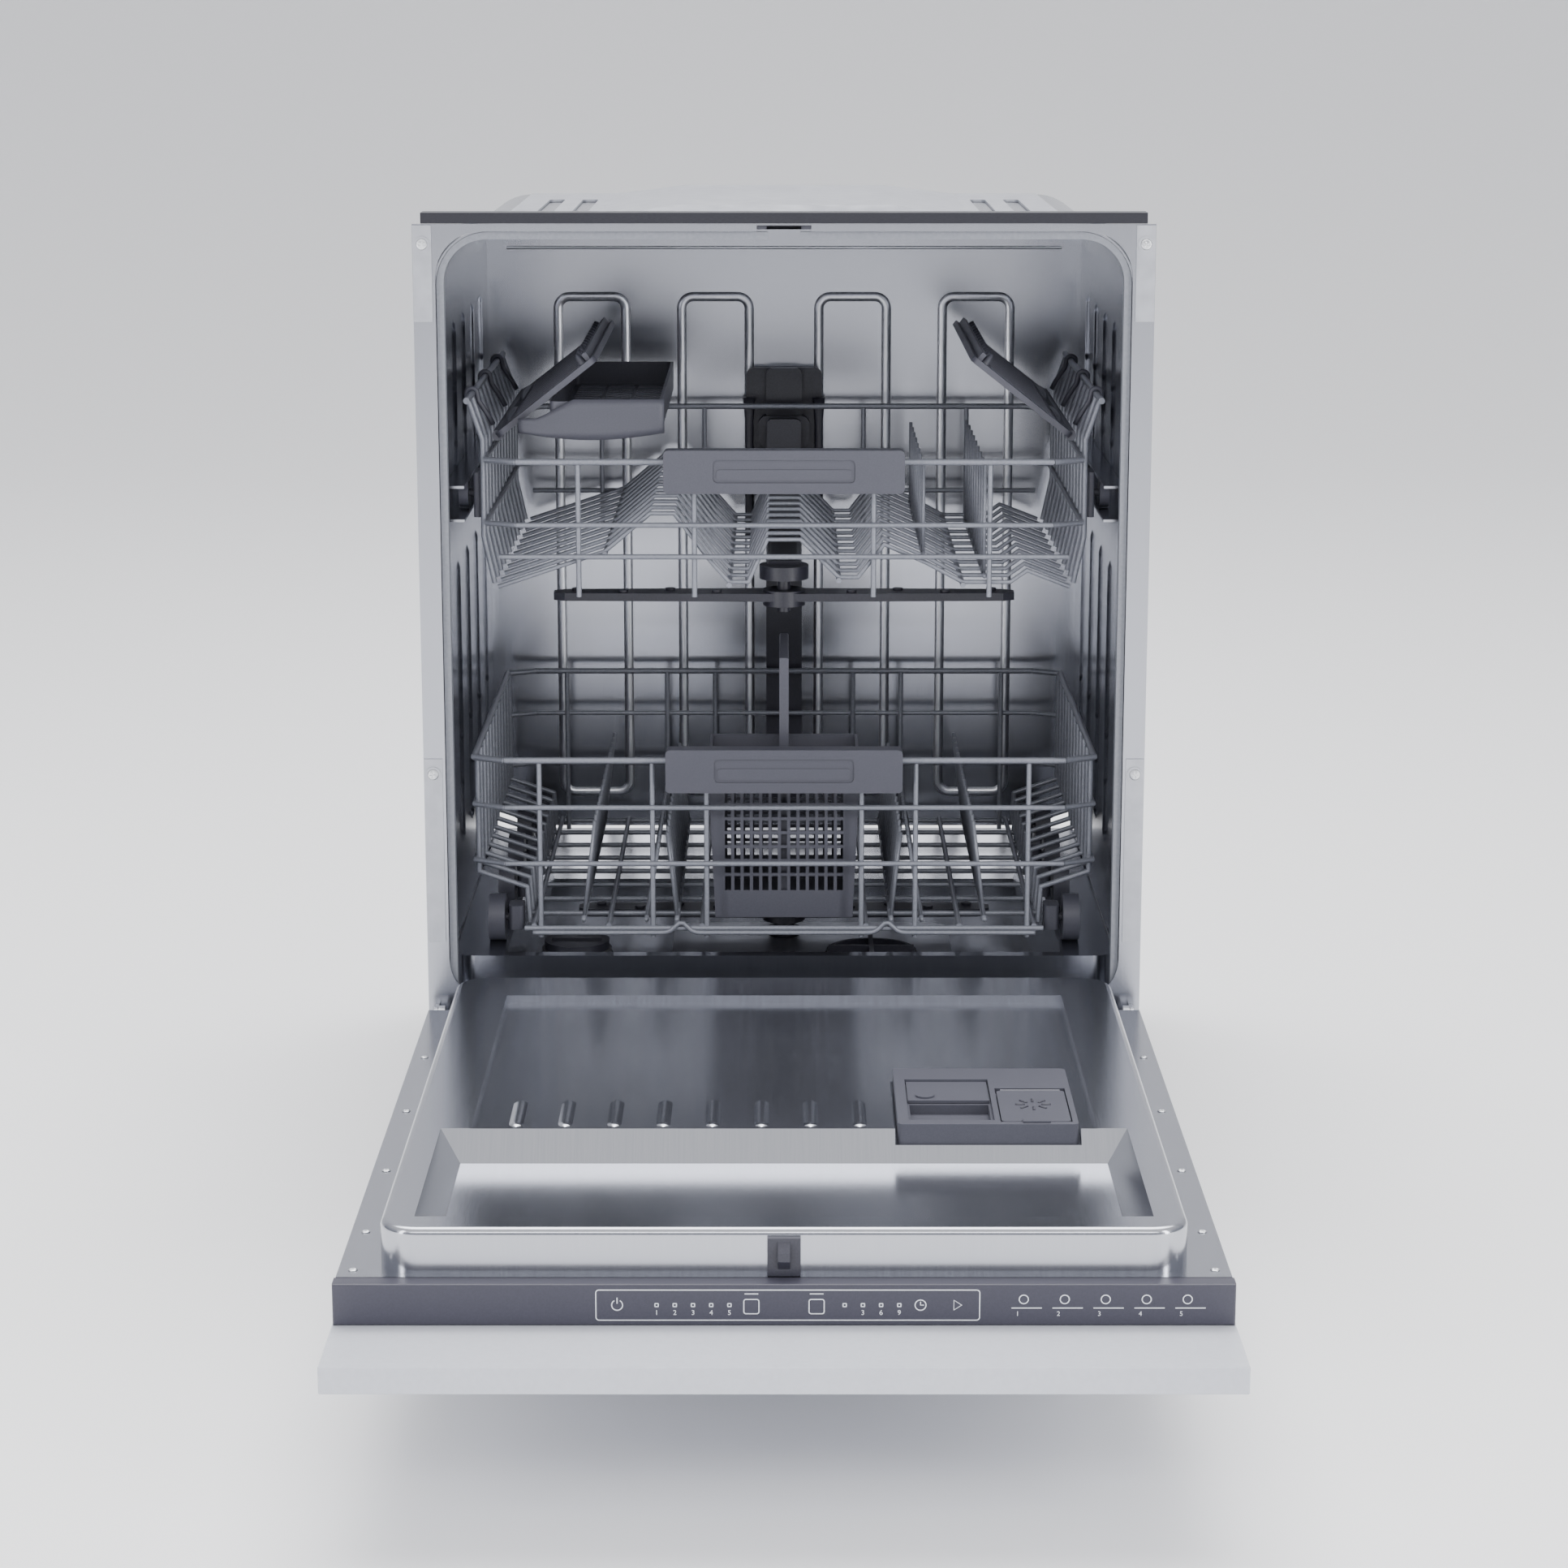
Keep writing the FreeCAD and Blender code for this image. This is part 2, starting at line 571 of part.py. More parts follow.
def wheel_brackets():
    """The moulded wheel carriers on the rack's sides, each with a fixed axle pin."""
    blocks = []
    for y in wheel_positions():
        block = slab(-236.5, y - 11, -223.6, y + 11, WHEEL_Z - 9, WHEEL_Z + 12, 4)
        pin = rod((-230, y, WHEEL_Z), (-WHEEL_X - 7, y, WHEEL_Z), PIN_R)
        blocks.append(block.fuse(pin))
    return Part.makeCompound(blocks + [mirror(b) for b in blocks])


def wheel_pair(y):
    """A left and a right wheel on one line: dished disc with a wide tread."""
    x0, x1 = -WHEEL_X - 6.5, -WHEEL_X + 7.5
    disc = rod((x0, y, WHEEL_Z), (x1, y, WHEEL_Z), WHEEL_R)
    dish = rod((x0 - 1, y, WHEEL_Z), (x0 + 4, y, WHEEL_Z), WHEEL_R - 5)
    boss = rod((x0, y, WHEEL_Z), (x0 + 6, y, WHEEL_Z), 7)
    bore = rod((x0 - 5, y, WHEEL_Z), (x1 + 5, y, WHEEL_Z), PIN_R + RUNNING)
    return pair(disc.cut(dish).fuse(boss).cut(bore))


def upper_wave(y):
    """One floor wire of the upper rack, bent into a broad zigzag."""
    shape = ((-240, 0), (-150, 30), (-112, 62), (-92, 62), (-62, 22), (-46, 4), (-30, 4), (-14, 40),
             (14, 40), (46, 8), (62, 8), (84, 36), (120, 20), (150, 4), (190, 4), (204, 14), (240, 0))
    return [(x, y, UP_FLOOR + h) for x, h in shape]


def upper_rack_floor():
    """The zigzag wire floor of the upper rack on four long wires."""
    wires = []
    for y in spread(RACK_FRONT + 6, RACK_BACK - 6, 12):
        wires += bent(upper_wave(y), 1.8)
    for x, h in ((-150, 30), (-46, 4), (46, 8), (150, 4)):
        wires.append(rod((x, RACK_FRONT, UP_FLOOR + h - 2), (x, RACK_BACK, UP_FLOOR + h - 2)))
    return join(wires)


def upper_rack_sides():
    """Two side walls: upright wires from the floor to the raised outer rail."""
    f, b = RACK_FRONT, RACK_BACK
    wires = [rod((-UP_HALF_RAISED, f + 6, UP_RAISED), (-UP_HALF_RAISED, b - 4, UP_RAISED), RIM_WIRE)]
    for z in (UP_RIM, 553):
        wires.append(rod((-UP_HALF, f + 14, z), (-UP_HALF, b - 8, z)))
    for y in spread(f + 20, b - 16, 12):
        wires += bent([(-UP_HALF_FLOOR - 4, y, UP_FLOOR + 1), (-UP_HALF - 2.5, y, 540),
                       (-UP_HALF - 2.5, y, 622), (-UP_HALF_RAISED, y, UP_RAISED)])
    return pair(join(wires))


def upper_rack_ends():
    """The front and back walls of the upper rack."""
    ends = []
    for y, turn in ((RACK_FRONT - 1, 1), (RACK_BACK + 1, -1)):
        wires = []
        for z, r in ((UP_RIM, RIM_WIRE), (553, WIRE)):
            wires += bent([(-UP_HALF, y + turn * 14, z), (-UP_HALF + 26, y, z),
                           (UP_HALF - 26, y, z), (UP_HALF, y + turn * 14, z)], r)
        for x in (-172, -75, 75, 172):
            wires.append(rod((x, y + turn * 2.9, UP_FLOOR - 8), (x, y + turn * 2.9, UP_RIM - 1.3)))
        wires.append(rod((-238, y + turn * 0.4, UP_FLOOR + 26.3), (238, y + turn * 0.4, UP_FLOOR + 26.3)))
        ends.append(join(wires))
    return Part.makeCompound(ends)


def upper_conduit():
    """The water channel under the upper rack, from the back docking mouth to the arm's pivot."""
    channel = rounded(-16, 476, 16, 493, ARM_Y, RACK_BACK - 16, 5)
    drop = Part.makeCylinder(22, 12, V(ARM_X, ARM_Y, 478))
    pivot = Part.makeCylinder(6, 32, V(ARM_X, ARM_Y, UP_ARM_Z - 14))
    rise = rounded(-16, 476, 16, 596, RACK_BACK - 20, RACK_BACK - 8.4, 5)
    nozzle = rod((0, RACK_BACK - 10, 581), (0, 477.5, 581), 9)
    return join([channel, drop, pivot, rise, nozzle])


def roller_carriers():
    """The plates on the upper rack's sides that carry the roller pins."""
    blocks = []
    for y in roller_positions():
        block = slab(-261, y - 16, -255.4, y + 16, 556, 594, 2)
        pin = rod((-260, y, ROLLER_Z), (-ROLLER_X - 3, y, ROLLER_Z), PIN_R)
        blocks.append(block.fuse(pin))
    return Part.makeCompound(blocks + [mirror(b) for b in blocks])


def roller_positions():
    return [RACK_FRONT + 40, RACK_BACK - 60]


def roller_pair(y):
    x0, x1 = -ROLLER_X - 3.5, -ROLLER_X + 4.5
    wheel = rod((x0, y, ROLLER_Z), (x1, y, ROLLER_Z), ROLLER_R)
    return pair(wheel.cut(rod((x0 - 5, y, ROLLER_Z), (x1 + 5, y, ROLLER_Z), PIN_R + RUNNING)))




def cup_shelf():
    """A slotted, tilting cup shelf, drawn flat and then tilted on its pivot rod."""
    y0, y1 = RACK_FRONT + 26, RACK_FRONT + 366
    plate = slab(0, y0, SHELF_LONG, y1, -2.5, 2.5, 8)
    slots = [slab(16, y, 88, y + 14, -4, 4, 5) for y in spread(y0 + 14, y1 - 28, 16)]
    plate = plate.cut(Part.makeCompound(slots))
    lip = box(SHELF_LONG - 8, y0 + 6, 0, SHELF_LONG - 4, y1 - 6, 9)
    barrel = rod((0, y0 + 8, 0), (0, y1 - 8, 0), 4.5)
    shelf = join([plate, lip, barrel])
    shelf.rotate(V(0, 0, 0), V(0, 1, 0), -math.degrees(SHELF_RISE))
    shelf.translate(V(-SHELF_PIVOT[0], 0, SHELF_PIVOT[1]))
    return shelf


def knife_tray():
    """The long slotted tray beside the left cup shelf."""
    y0, y1 = RACK_FRONT + 20, RACK_FRONT + 350
    tray = slab(-196, y0, -102, y1, 630, 654, 6).cut(slab(-193.5, y0 + 2.5, -104.5, y1 - 2.5, 633, 660, 5))
    slots = [box(x, y, 628, x + 24, y + 8, 635) for x in (-188, -161, -134)
             for y in spread(y0 + 12, y1 - 22, 20)]
    return tray.cut(Part.makeCompound(slots))


save("tub_wrapper", tub_wrapper())
save("tub_back", tub_back())
save("tub_floor", tub_floor())
save("front_frame", front_frame())
save("tub_seal", tub_seal())
save("top_plate", top_plate())
save("worktop_strip", worktop_strip())
save("side_panels", side_panels())
save("fixing_brackets", fixing_brackets())
save("door_lock", door_lock())
save("base_tray", base_tray())
save("base_weight", base_weight())
save("levelling_feet", levelling_feet())
save("sump", sump())
save("circulation_pump", circulation_pump())
save("drain_pump", drain_pump())
save("inlet_valve", inlet_valve())
save("water_softener", water_softener())
save("salt_cap", salt_cap())
save("filter_plate", filter_plate())
save("filter_cylinder", filter_cylinder())
save("spray_hub", spray_hub())
save("lower_spray_arm", spray_arm(LOW_ARM_Z, 186.0, 6.0 + RUNNING))
save("upper_spray_arm", spray_arm(UP_ARM_Z, 205.0, 6.0 + RUNNING))
save("feed_tube", feed_tube())
save("guide_rails", guide_rails())
save("chassis_legs", chassis_legs())
save("door_springs", door_springs())
save("door_inner", door_inner())
save("door_outer", door_outer())
save("decor_panel", decor_panel())
save("control_panel", control_panel())
save("control_board", control_board())
save("door_latch", door_latch())
save("dispenser", dispenser())
save("rinse_lid", rinse_lid())
save("detergent_lid", detergent_lid())
save("door_bottom_seal", door_bottom_seal())
save("hinge_arms", hinge_arms())
save("lower_rack_floor", lower_rack_floor())
save("lower_rack_sides", lower_rack_sides())
save("lower_rack_ends", lower_rack_ends())
save("lower_handle", handle(328.0, 365.0))
save("cutlery_basket", cutlery_basket())
save("wheel_brackets", wheel_brackets())
for number, place in enumerate(wheel_positions(), 1):
    save("wheel_pair_%d" % number, wheel_pair(place))
save("upper_rack_floor", upper_rack_floor())
save("upper_rack_sides", upper_rack_sides())
save("upper_rack_ends", upper_rack_ends())
save("upper_handle", handle(582.0, 618.0))
save("upper_conduit", upper_conduit())
save("roller_carriers", roller_carriers())
for number, place in enumerate(roller_positions(), 1):
    save("roller_pair_%d" % number, roller_pair(place))
save("cup_shelf_left", cup_shelf())
save("cup_shelf_right", mirror(cup_shelf()))
save("knife_tray", knife_tray())
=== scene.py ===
import json
import math

import bpy
import numpy as np
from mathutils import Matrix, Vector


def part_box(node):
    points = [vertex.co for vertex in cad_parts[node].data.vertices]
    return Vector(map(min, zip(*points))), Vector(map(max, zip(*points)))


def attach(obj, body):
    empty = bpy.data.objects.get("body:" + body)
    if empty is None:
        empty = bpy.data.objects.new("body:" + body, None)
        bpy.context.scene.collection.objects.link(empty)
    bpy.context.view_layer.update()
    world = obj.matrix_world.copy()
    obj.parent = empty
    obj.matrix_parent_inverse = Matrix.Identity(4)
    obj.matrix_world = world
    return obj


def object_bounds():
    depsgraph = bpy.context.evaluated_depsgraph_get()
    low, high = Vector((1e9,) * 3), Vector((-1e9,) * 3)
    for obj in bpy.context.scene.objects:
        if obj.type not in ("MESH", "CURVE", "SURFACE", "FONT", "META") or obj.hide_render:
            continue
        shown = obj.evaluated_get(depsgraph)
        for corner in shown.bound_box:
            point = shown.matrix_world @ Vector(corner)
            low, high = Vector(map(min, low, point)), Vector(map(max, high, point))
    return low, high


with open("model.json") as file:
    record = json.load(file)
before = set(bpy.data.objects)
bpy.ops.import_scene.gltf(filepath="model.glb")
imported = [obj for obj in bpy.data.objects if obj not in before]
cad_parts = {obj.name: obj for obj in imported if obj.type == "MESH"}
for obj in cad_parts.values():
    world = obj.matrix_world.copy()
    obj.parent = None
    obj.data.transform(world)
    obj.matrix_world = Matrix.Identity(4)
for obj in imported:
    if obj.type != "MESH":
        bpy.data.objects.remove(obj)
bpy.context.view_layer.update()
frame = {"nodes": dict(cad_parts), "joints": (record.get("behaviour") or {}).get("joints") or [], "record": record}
NODES = frame["nodes"]

# ---------------------------------------------------------------- studio and camera
# A seamless pale floor that curves up into a backdrop, a white surround, and soft
# panels that draw long highlights down the pressed steel.
CAMERA_PLACE = (0.0, -2.8956, 0.9897)
CAMERA_DOWN = 12.54
CAMERA_LENS = 82.0
FLOOR_REACH = 14.0
COVE_START = 4.5
COVE_RADIUS = 3.0


def paint(name, color, rough=0.5, metal=0.0):
    """A material whose even values sit on the shader's own sockets; returns its node tools."""
    material = bpy.data.materials.new(name)
    material.use_nodes = True
    shader = material.node_tree.nodes["Principled BSDF"]
    shader.inputs["Base Color"].default_value = (*color, 1.0)
    shader.inputs["Roughness"].default_value = rough
    shader.inputs["Metallic"].default_value = metal
    return material, material.node_tree, shader


def grid_mesh(name, points, material, caps=False, closed=True, smooth=True):
    """A mesh from points[wire, along, around]: quads between neighbours, and end caps."""
    wires, along, around = points.shape[:3]
    index = np.arange(wires * along * around).reshape(wires, along, around)
    nxt = np.roll(index, -1, axis=2) if closed else index[:, :, 1:]
    here = index if closed else index[:, :, :-1]
    quads = np.stack([here[:, :-1], nxt[:, :-1], nxt[:, 1:], here[:, 1:]], axis=-1)
    faces = quads.reshape(-1, 4).tolist()
    if caps:
        faces += index[:, 0, ::-1].tolist() + index[:, -1, :].tolist()
    mesh = bpy.data.meshes.new(name)
    mesh.from_pydata(points.reshape(-1, 3).tolist(), [], faces)
    mesh.polygons.foreach_set("use_smooth", np.full(len(mesh.polygons), smooth))
    mesh.materials.append(material)
    piece = bpy.data.objects.new(name, mesh)
    bpy.context.scene.collection.objects.link(piece)
    return piece


floor_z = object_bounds()[0][2]
floor_paint, floor_tree, floor_shader = paint("studio_floor", (0.93, 0.93, 0.94), 0.7)
across_floor = np.linspace(-FLOOR_REACH, FLOOR_REACH, 2)
rise = np.linspace(0.0, math.pi / 2, 24)
cove_y = np.concatenate([[-FLOOR_REACH], COVE_START + COVE_RADIUS * np.sin(rise),
                         [COVE_START + COVE_RADIUS]])
cove_z = np.concatenate([[0.0], COVE_RADIUS * (1 - np.cos(rise)), [FLOOR_REACH]]) + floor_z
sheet = np.stack([np.broadcast_to(across_floor[None, :], (len(cove_y), 2)),
                  np.broadcast_to(cove_y[:, None], (len(cove_y), 2)),
                  np.broadcast_to(cove_z[:, None], (len(cove_y), 2))], -1)
studio_floor = grid_mesh("studio_floor", sheet[None], floor_paint, closed=False)

world = bpy.data.worlds.new("studio")
world.use_nodes = True
sky, sky_links = world.node_tree.nodes, world.node_tree.links
seen = sky["Background"]
seen.inputs["Color"].default_value = (1.0, 1.0, 1.0, 1.0)
seen.inputs["Strength"].default_value = 3.2
dome = sky.new("ShaderNodeBackground")
toward = sky.new("ShaderNodeTexCoord")
parts = sky.new("ShaderNodeSeparateXYZ")
dome_ramp = sky.new("ShaderNodeValToRGB")
dome_ramp.color_ramp.elements[0].position = 0.0
dome_ramp.color_ramp.elements[1].position = 1.0
dome_ramp.color_ramp.elements[0].color = (0.20, 0.21, 0.25, 1.0)
dome_ramp.color_ramp.elements[1].color = (1.0, 1.0, 1.0, 1.0)
middle = dome_ramp.color_ramp.elements.new(0.25)
middle.color = (0.36, 0.37, 0.42, 1.0)
dome.inputs["Strength"].default_value = 1.3
kind = sky.new("ShaderNodeLightPath")
choose = sky.new("ShaderNodeMixShader")
sky_links.new(toward.outputs["Generated"], parts.inputs["Vector"])
sky_links.new(parts.outputs["Z"], dome_ramp.inputs["Fac"])
sky_links.new(dome_ramp.outputs["Color"], dome.inputs["Color"])
sky_links.new(kind.outputs["Is Camera Ray"], choose.inputs["Fac"])
sky_links.new(dome.outputs["Background"], choose.inputs[1])
sky_links.new(seen.outputs["Background"], choose.inputs[2])
sky_links.new(choose.outputs["Shader"], sky["World Output"].inputs["Surface"])
bpy.context.scene.world = world


def soft_light(name, place, turn, size, power):
    """A rectangular lamp: size is its width and height in metres, turn its angles in degrees."""
    lamp = bpy.data.lights.new(name, "AREA")
    lamp.shape = "RECTANGLE"
    lamp.size, lamp.size_y = size
    lamp.energy = power
    holder = bpy.data.objects.new(name, lamp)
    holder.location = place
    holder.rotation_euler = [math.radians(a) for a in turn]
    bpy.context.scene.collection.objects.link(holder)


soft_light("overhead_panel", (0.0, 1.0, 3.0), (-16, 0, 0), (2.6, 1.6), 60)
soft_light("front_panel", (0.0, -3.4, 2.2), (62, 0, 0), (3.0, 0.8), 34)
soft_light("left_strip", (-1.9, -2.0, 1.1), (82, 0, -48), (0.35, 2.0), 22)
soft_light("right_strip", (1.9, -2.0, 1.1), (82, 0, 48), (0.35, 2.0), 34)
day = bpy.data.lights.new("even_daylight", "SUN")
day.energy = 4.4
day.angle = math.radians(60.0)
day_holder = bpy.data.objects.new("even_daylight", day)
day_holder.rotation_euler = (math.radians(-28.0), 0.0, 0.0)
bpy.context.scene.collection.objects.link(day_holder)

lens = bpy.data.cameras.new("camera")
lens.sensor_width = 36.0
lens.lens = CAMERA_LENS
camera = bpy.data.objects.new("camera", lens)
camera.location = CAMERA_PLACE
camera.rotation_euler = (math.radians(90.0 - CAMERA_DOWN), 0.0, 0.0)
bpy.context.scene.collection.objects.link(camera)
bpy.context.scene.camera = camera

# ---------------------------------------------------------------- base tray and machinery
# A moulded base tray on levelling feet carries the cast ballast, the sump, both pumps,
# the softener, the inlet valve and the control board.
MM = 0.001


def grain(tree, shader, stretch, scale, low, high, bump, depth=0.0004):
    """Stretched noise on object coordinates: it drives roughness from low to high, and a bump."""
    nodes, links = tree.nodes, tree.links
    place = nodes.new("ShaderNodeTexCoord")
    mapping = nodes.new("ShaderNodeMapping")
    mapping.inputs["Scale"].default_value = stretch
    noise = nodes.new("ShaderNodeTexNoise")
    noise.inputs["Scale"].default_value = scale
    noise.inputs["Detail"].default_value = 4.0
    spread = nodes.new("ShaderNodeMapRange")
    spread.inputs["To Min"].default_value = low
    spread.inputs["To Max"].default_value = high
    lift = nodes.new("ShaderNodeBump")
    lift.inputs["Strength"].default_value = bump
    lift.inputs["Distance"].default_value = depth
    links.new(place.outputs["Object"], mapping.inputs["Vector"])
    links.new(mapping.outputs["Vector"], noise.inputs["Vector"])
    links.new(noise.outputs["Fac"], spread.inputs["Value"])
    links.new(noise.outputs["Fac"], lift.inputs["Height"])
    links.new(spread.outputs["Result"], shader.inputs["Roughness"])
    links.new(lift.outputs["Normal"], shader.inputs["Normal"])
    return noise


def tint(tree, shader, noise, dark, light):
    """Colour that drifts between two close shades with the grain's noise."""
    ramp = tree.nodes.new("ShaderNodeValToRGB")
    ramp.color_ramp.elements[0].position = 0.35
    ramp.color_ramp.elements[1].position = 0.65
    ramp.color_ramp.elements[0].color = (*dark, 1.0)
    ramp.color_ramp.elements[1].color = (*light, 1.0)
    tree.links.new(noise.outputs["Fac"], ramp.inputs["Fac"])
    tree.links.new(ramp.outputs["Color"], shader.inputs["Base Color"])


def dress(material, *names):
    """Gives a frame node its finish."""
    for name in names:
        node = NODES[name]
        node.data.materials.clear()
        node.data.materials.append(material)


tray_paint, tray_tree, tray_shader = paint("base_moulding", (0.10, 0.10, 0.11), 0.55)
tray_noise = grain(tray_tree, tray_shader, (1.0, 1.0, 1.0), 300.0, 0.48, 0.62, 0.15, 0.0003)
tint(tray_tree, tray_shader, tray_noise, (0.09, 0.09, 0.10), (0.115, 0.115, 0.125))
dress(tray_paint, "base_tray", "water_softener")

cast, cast_tree, cast_shader = paint("cast_ballast", (0.34, 0.34, 0.33), 0.9)
cast_noise = grain(cast_tree, cast_shader, (1.0, 1.0, 1.0), 120.0, 0.8, 0.95, 0.5, 0.001)
tint(cast_tree, cast_shader, cast_noise, (0.28, 0.28, 0.27), (0.40, 0.40, 0.385))
dress(cast, "base_weight")

dark, dark_tree, dark_shader = paint("dark_moulding", (0.055, 0.055, 0.075), 0.38)
dark_noise = grain(dark_tree, dark_shader, (1.0, 1.0, 1.0), 700.0, 0.32, 0.46, 0.10, 0.0002)
tint(dark_tree, dark_shader, dark_noise, (0.032, 0.032, 0.045), (0.040, 0.040, 0.055))
dress(dark, "sump", "circulation_pump", "drain_pump", "levelling_feet", "control_board")

grey, grey_tree, grey_shader = paint("grey_moulding", (0.155, 0.155, 0.19), 0.45)
grey_noise = grain(grey_tree, grey_shader, (1.0, 1.0, 1.0), 900.0, 0.40, 0.52, 0.12, 0.0002)
tint(grey_tree, grey_shader, grey_noise, (0.066, 0.067, 0.086), (0.074, 0.075, 0.096))
dress(grey, "inlet_valve")

# ---------------------------------------------------------------- chassis and outer sheets
# Tub legs, side sheets, top brace, screw brackets, hinge arms and springs are thin
# galvanised or pre-coated steel, duller than the tub.
zinc, zinc_tree, zinc_shader = paint("coated_sheet", (0.72, 0.73, 0.76), 0.4, 0.85)
zinc_noise = grain(zinc_tree, zinc_shader, (1.0, 1.0, 1.0), 60.0, 0.32, 0.46, 0.05)
tint(zinc_tree, zinc_shader, zinc_noise, (0.46, 0.47, 0.51), (0.53, 0.54, 0.58))
dress(zinc, "chassis_legs", "side_panels", "top_plate", "fixing_brackets", "hinge_arms",
      "door_springs")

# ---------------------------------------------------------------- steel tub and side wall beads
# Wrapper, back wall, floor pan and mouth frame are bright drawn stainless sheet with a
# faint vertical grain; each side is pressed with upright beads that stiffen it.
steel, steel_tree, steel_shader = paint("bright_steel", (0.42, 0.43, 0.47), 0.2, 1.0)
steel_noise = grain(steel_tree, steel_shader, (60.0, 60.0, 1.5), 16.0, 0.19, 0.25, 0.006, 0.0001)
tint(steel_tree, steel_shader, steel_noise, (0.41, 0.42, 0.46), (0.43, 0.44, 0.48))
dress(steel, "tub_wrapper", "tub_back", "tub_floor", "front_frame")
BEAD_HALF = 7.0 * MM
BEAD_RISE = 2.4 * MM
BEAD_YS = (0.15, 0.24, 0.33, 0.42)
UPPER_BEADS = (0.56, 0.715)
LOWER_BEADS = (0.26, 0.51)
TUB_SHEET = 1.5 * MM
SINK = 0.0001
WALL_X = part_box("tub_wrapper")[1].x - TUB_SHEET


def pressed_bead(name, centres, low, high, side):
    """Long beads on a side wall: the rise is BEAD_RISE times the squared cosine across, and
    width and rise close as a quarter circle over the last twelfth at each end."""
    along = np.linspace(0.0, 1.0, 40)
    across = np.linspace(-1.0, 1.0, 13)
    rise = np.cos(across * math.pi / 2) ** 2
    ends = np.sqrt(np.clip(1 - (np.abs(along * 2 - 1) * 12 - 11).clip(0) ** 2, 0, 1))
    y = np.array(centres)[:, None, None] + across[None, None, :] * BEAD_HALF * ends[None, :, None]
    z = low + (high - low) * along[None, :, None] + 0 * y
    depth = BEAD_RISE * rise[None, None, :] * ends[None, :, None] + 0 * y
    x = side * (WALL_X - depth + SINK)
    points = np.stack([x, y, z], -1)
    if side > 0:
        points = points[:, :, ::-1]
    piece = grid_mesh(name, points, steel, closed=False)
    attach(piece, "cabinet")


for side, label in ((-1, "left"), (1, "right")):
    pressed_bead("side_beads_" + label, BEAD_YS, *UPPER_BEADS, side)
    pressed_bead("low_beads_" + label, BEAD_YS, *LOWER_BEADS, side)

# ---------------------------------------------------------------- back wall beads
# The back wall carries four long looped beads pressed into the sheet, and a narrow
# step runs across it near the top. Both are coloured with a lighter copy of the tub
# steel, a painted highlight that stands in for the bright lines light draws along them.
# painted highlight: this steel's colour is far lighter than the tub steel it is pressed from
painted_highlight_steel, painted_highlight_tree, painted_highlight_shader = paint("painted_highlight_steel", (0.74, 0.75, 0.79), 0.34, 1.0)
painted_highlight_noise = grain(painted_highlight_tree, painted_highlight_shader, (60.0, 60.0, 1.5), 16.0, 0.30, 0.38, 0.006, 0.0001)
tint(painted_highlight_tree, painted_highlight_shader, painted_highlight_noise, (0.72, 0.73, 0.77), (0.78, 0.79, 0.83))
LOOP_HALF = 32.0 * MM
LOOP_CORNER = 11.0 * MM
LOOP_XS = (-0.182, -0.065, 0.065, 0.182)
LOOP_LOW, LOOP_HIGH = 0.226, 0.706
STEP_HALF, STEP_Z = 0.262, 0.752
BACK_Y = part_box("tub_back")[1].y - TUB_SHEET


def ridge(name, loops, half, rise, y, closed=True):
    """A low rounded ridge along x, z paths on the back wall: its height is a cosine across."""
    around = np.roll(loops, -1, 1) - np.roll(loops, 1, 1)
    step = around if closed else np.gradient(loops, axis=1)
    step /= np.linalg.norm(step, axis=-1, keepdims=True)
    side = np.stack([-step[..., 1], step[..., 0]], -1)
    across = np.linspace(-1.0, 1.0, 9)
    flat = loops[:, :, None, :] + across[None, None, :, None] * half * side[:, :, None, :]
    depth = rise * np.cos(across * math.pi / 2) + 0 * flat[..., 0]
    points = np.stack([flat[..., 0], y - depth + SINK, flat[..., 1]], -1)[:, :, ::-1]
    if closed:
        points = np.concatenate([points, points[:, :1]], axis=1)
    # the ridge takes the lighter steel, so its brightness is a painted highlight
    piece = grid_mesh(name, points, painted_highlight_steel, closed=False)
    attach(piece, "cabinet")


def loop_path(x0, z0, x1, z1, radius, steps=8):
    """Points round an upright rectangle with quarter-circle corners."""
    turn = np.linspace(0, math.pi / 2, steps)
    x = [x1 - radius + radius * np.cos(turn), x0 + radius - radius * np.sin(turn),
         x0 + radius - radius * np.cos(turn), x1 - radius + radius * np.sin(turn)]
    z = [z1 - radius + radius * np.sin(turn), z1 - radius + radius * np.cos(turn),
         z0 + radius - radius * np.sin(turn), z0 + radius - radius * np.cos(turn)]
    return np.stack([np.concatenate(x), np.concatenate(z)], -1)


loops = np.array([loop_path(x - LOOP_HALF, LOOP_LOW, x + LOOP_HALF, LOOP_HIGH, LOOP_CORNER)
                  for x in LOOP_XS])
ridge("back_loops", loops, 4.6 * MM, 2.2 * MM, BACK_Y)
across_wall = np.stack([np.linspace(-STEP_HALF, STEP_HALF, 12), np.full(12, STEP_Z)], -1)[None]
ridge("wrapper_step", across_wall, 1.6 * MM, 1.0 * MM, BACK_Y, closed=False)

# ---------------------------------------------------------------- door seal, strip and lock
# A soft dark seal lines the mouth; a dark coated strip closes the gap under the
# worktop, and the moulded lock sits behind its middle.
rubber, rubber_tree, rubber_shader = paint("seal_rubber", (0.22, 0.23, 0.26), 0.5)
rubber_noise = grain(rubber_tree, rubber_shader, (1.0, 1.0, 1.0), 400.0, 0.52, 0.7, 0.1, 0.0002)
tint(rubber_tree, rubber_shader, rubber_noise, (0.21, 0.22, 0.25), (0.24, 0.25, 0.28))
dress(rubber, "tub_seal")

strip_paint, strip_tree, strip_shader = paint("strip_coating", (0.02, 0.02, 0.03), 0.3)
strip_noise = grain(strip_tree, strip_shader, (1.0, 8.0, 8.0), 300.0, 0.26, 0.36, 0.05, 0.0002)
tint(strip_tree, strip_shader, strip_noise, (0.014, 0.014, 0.02), (0.02, 0.02, 0.028))
dress(strip_paint, "worktop_strip")
dress(dark, "door_lock")

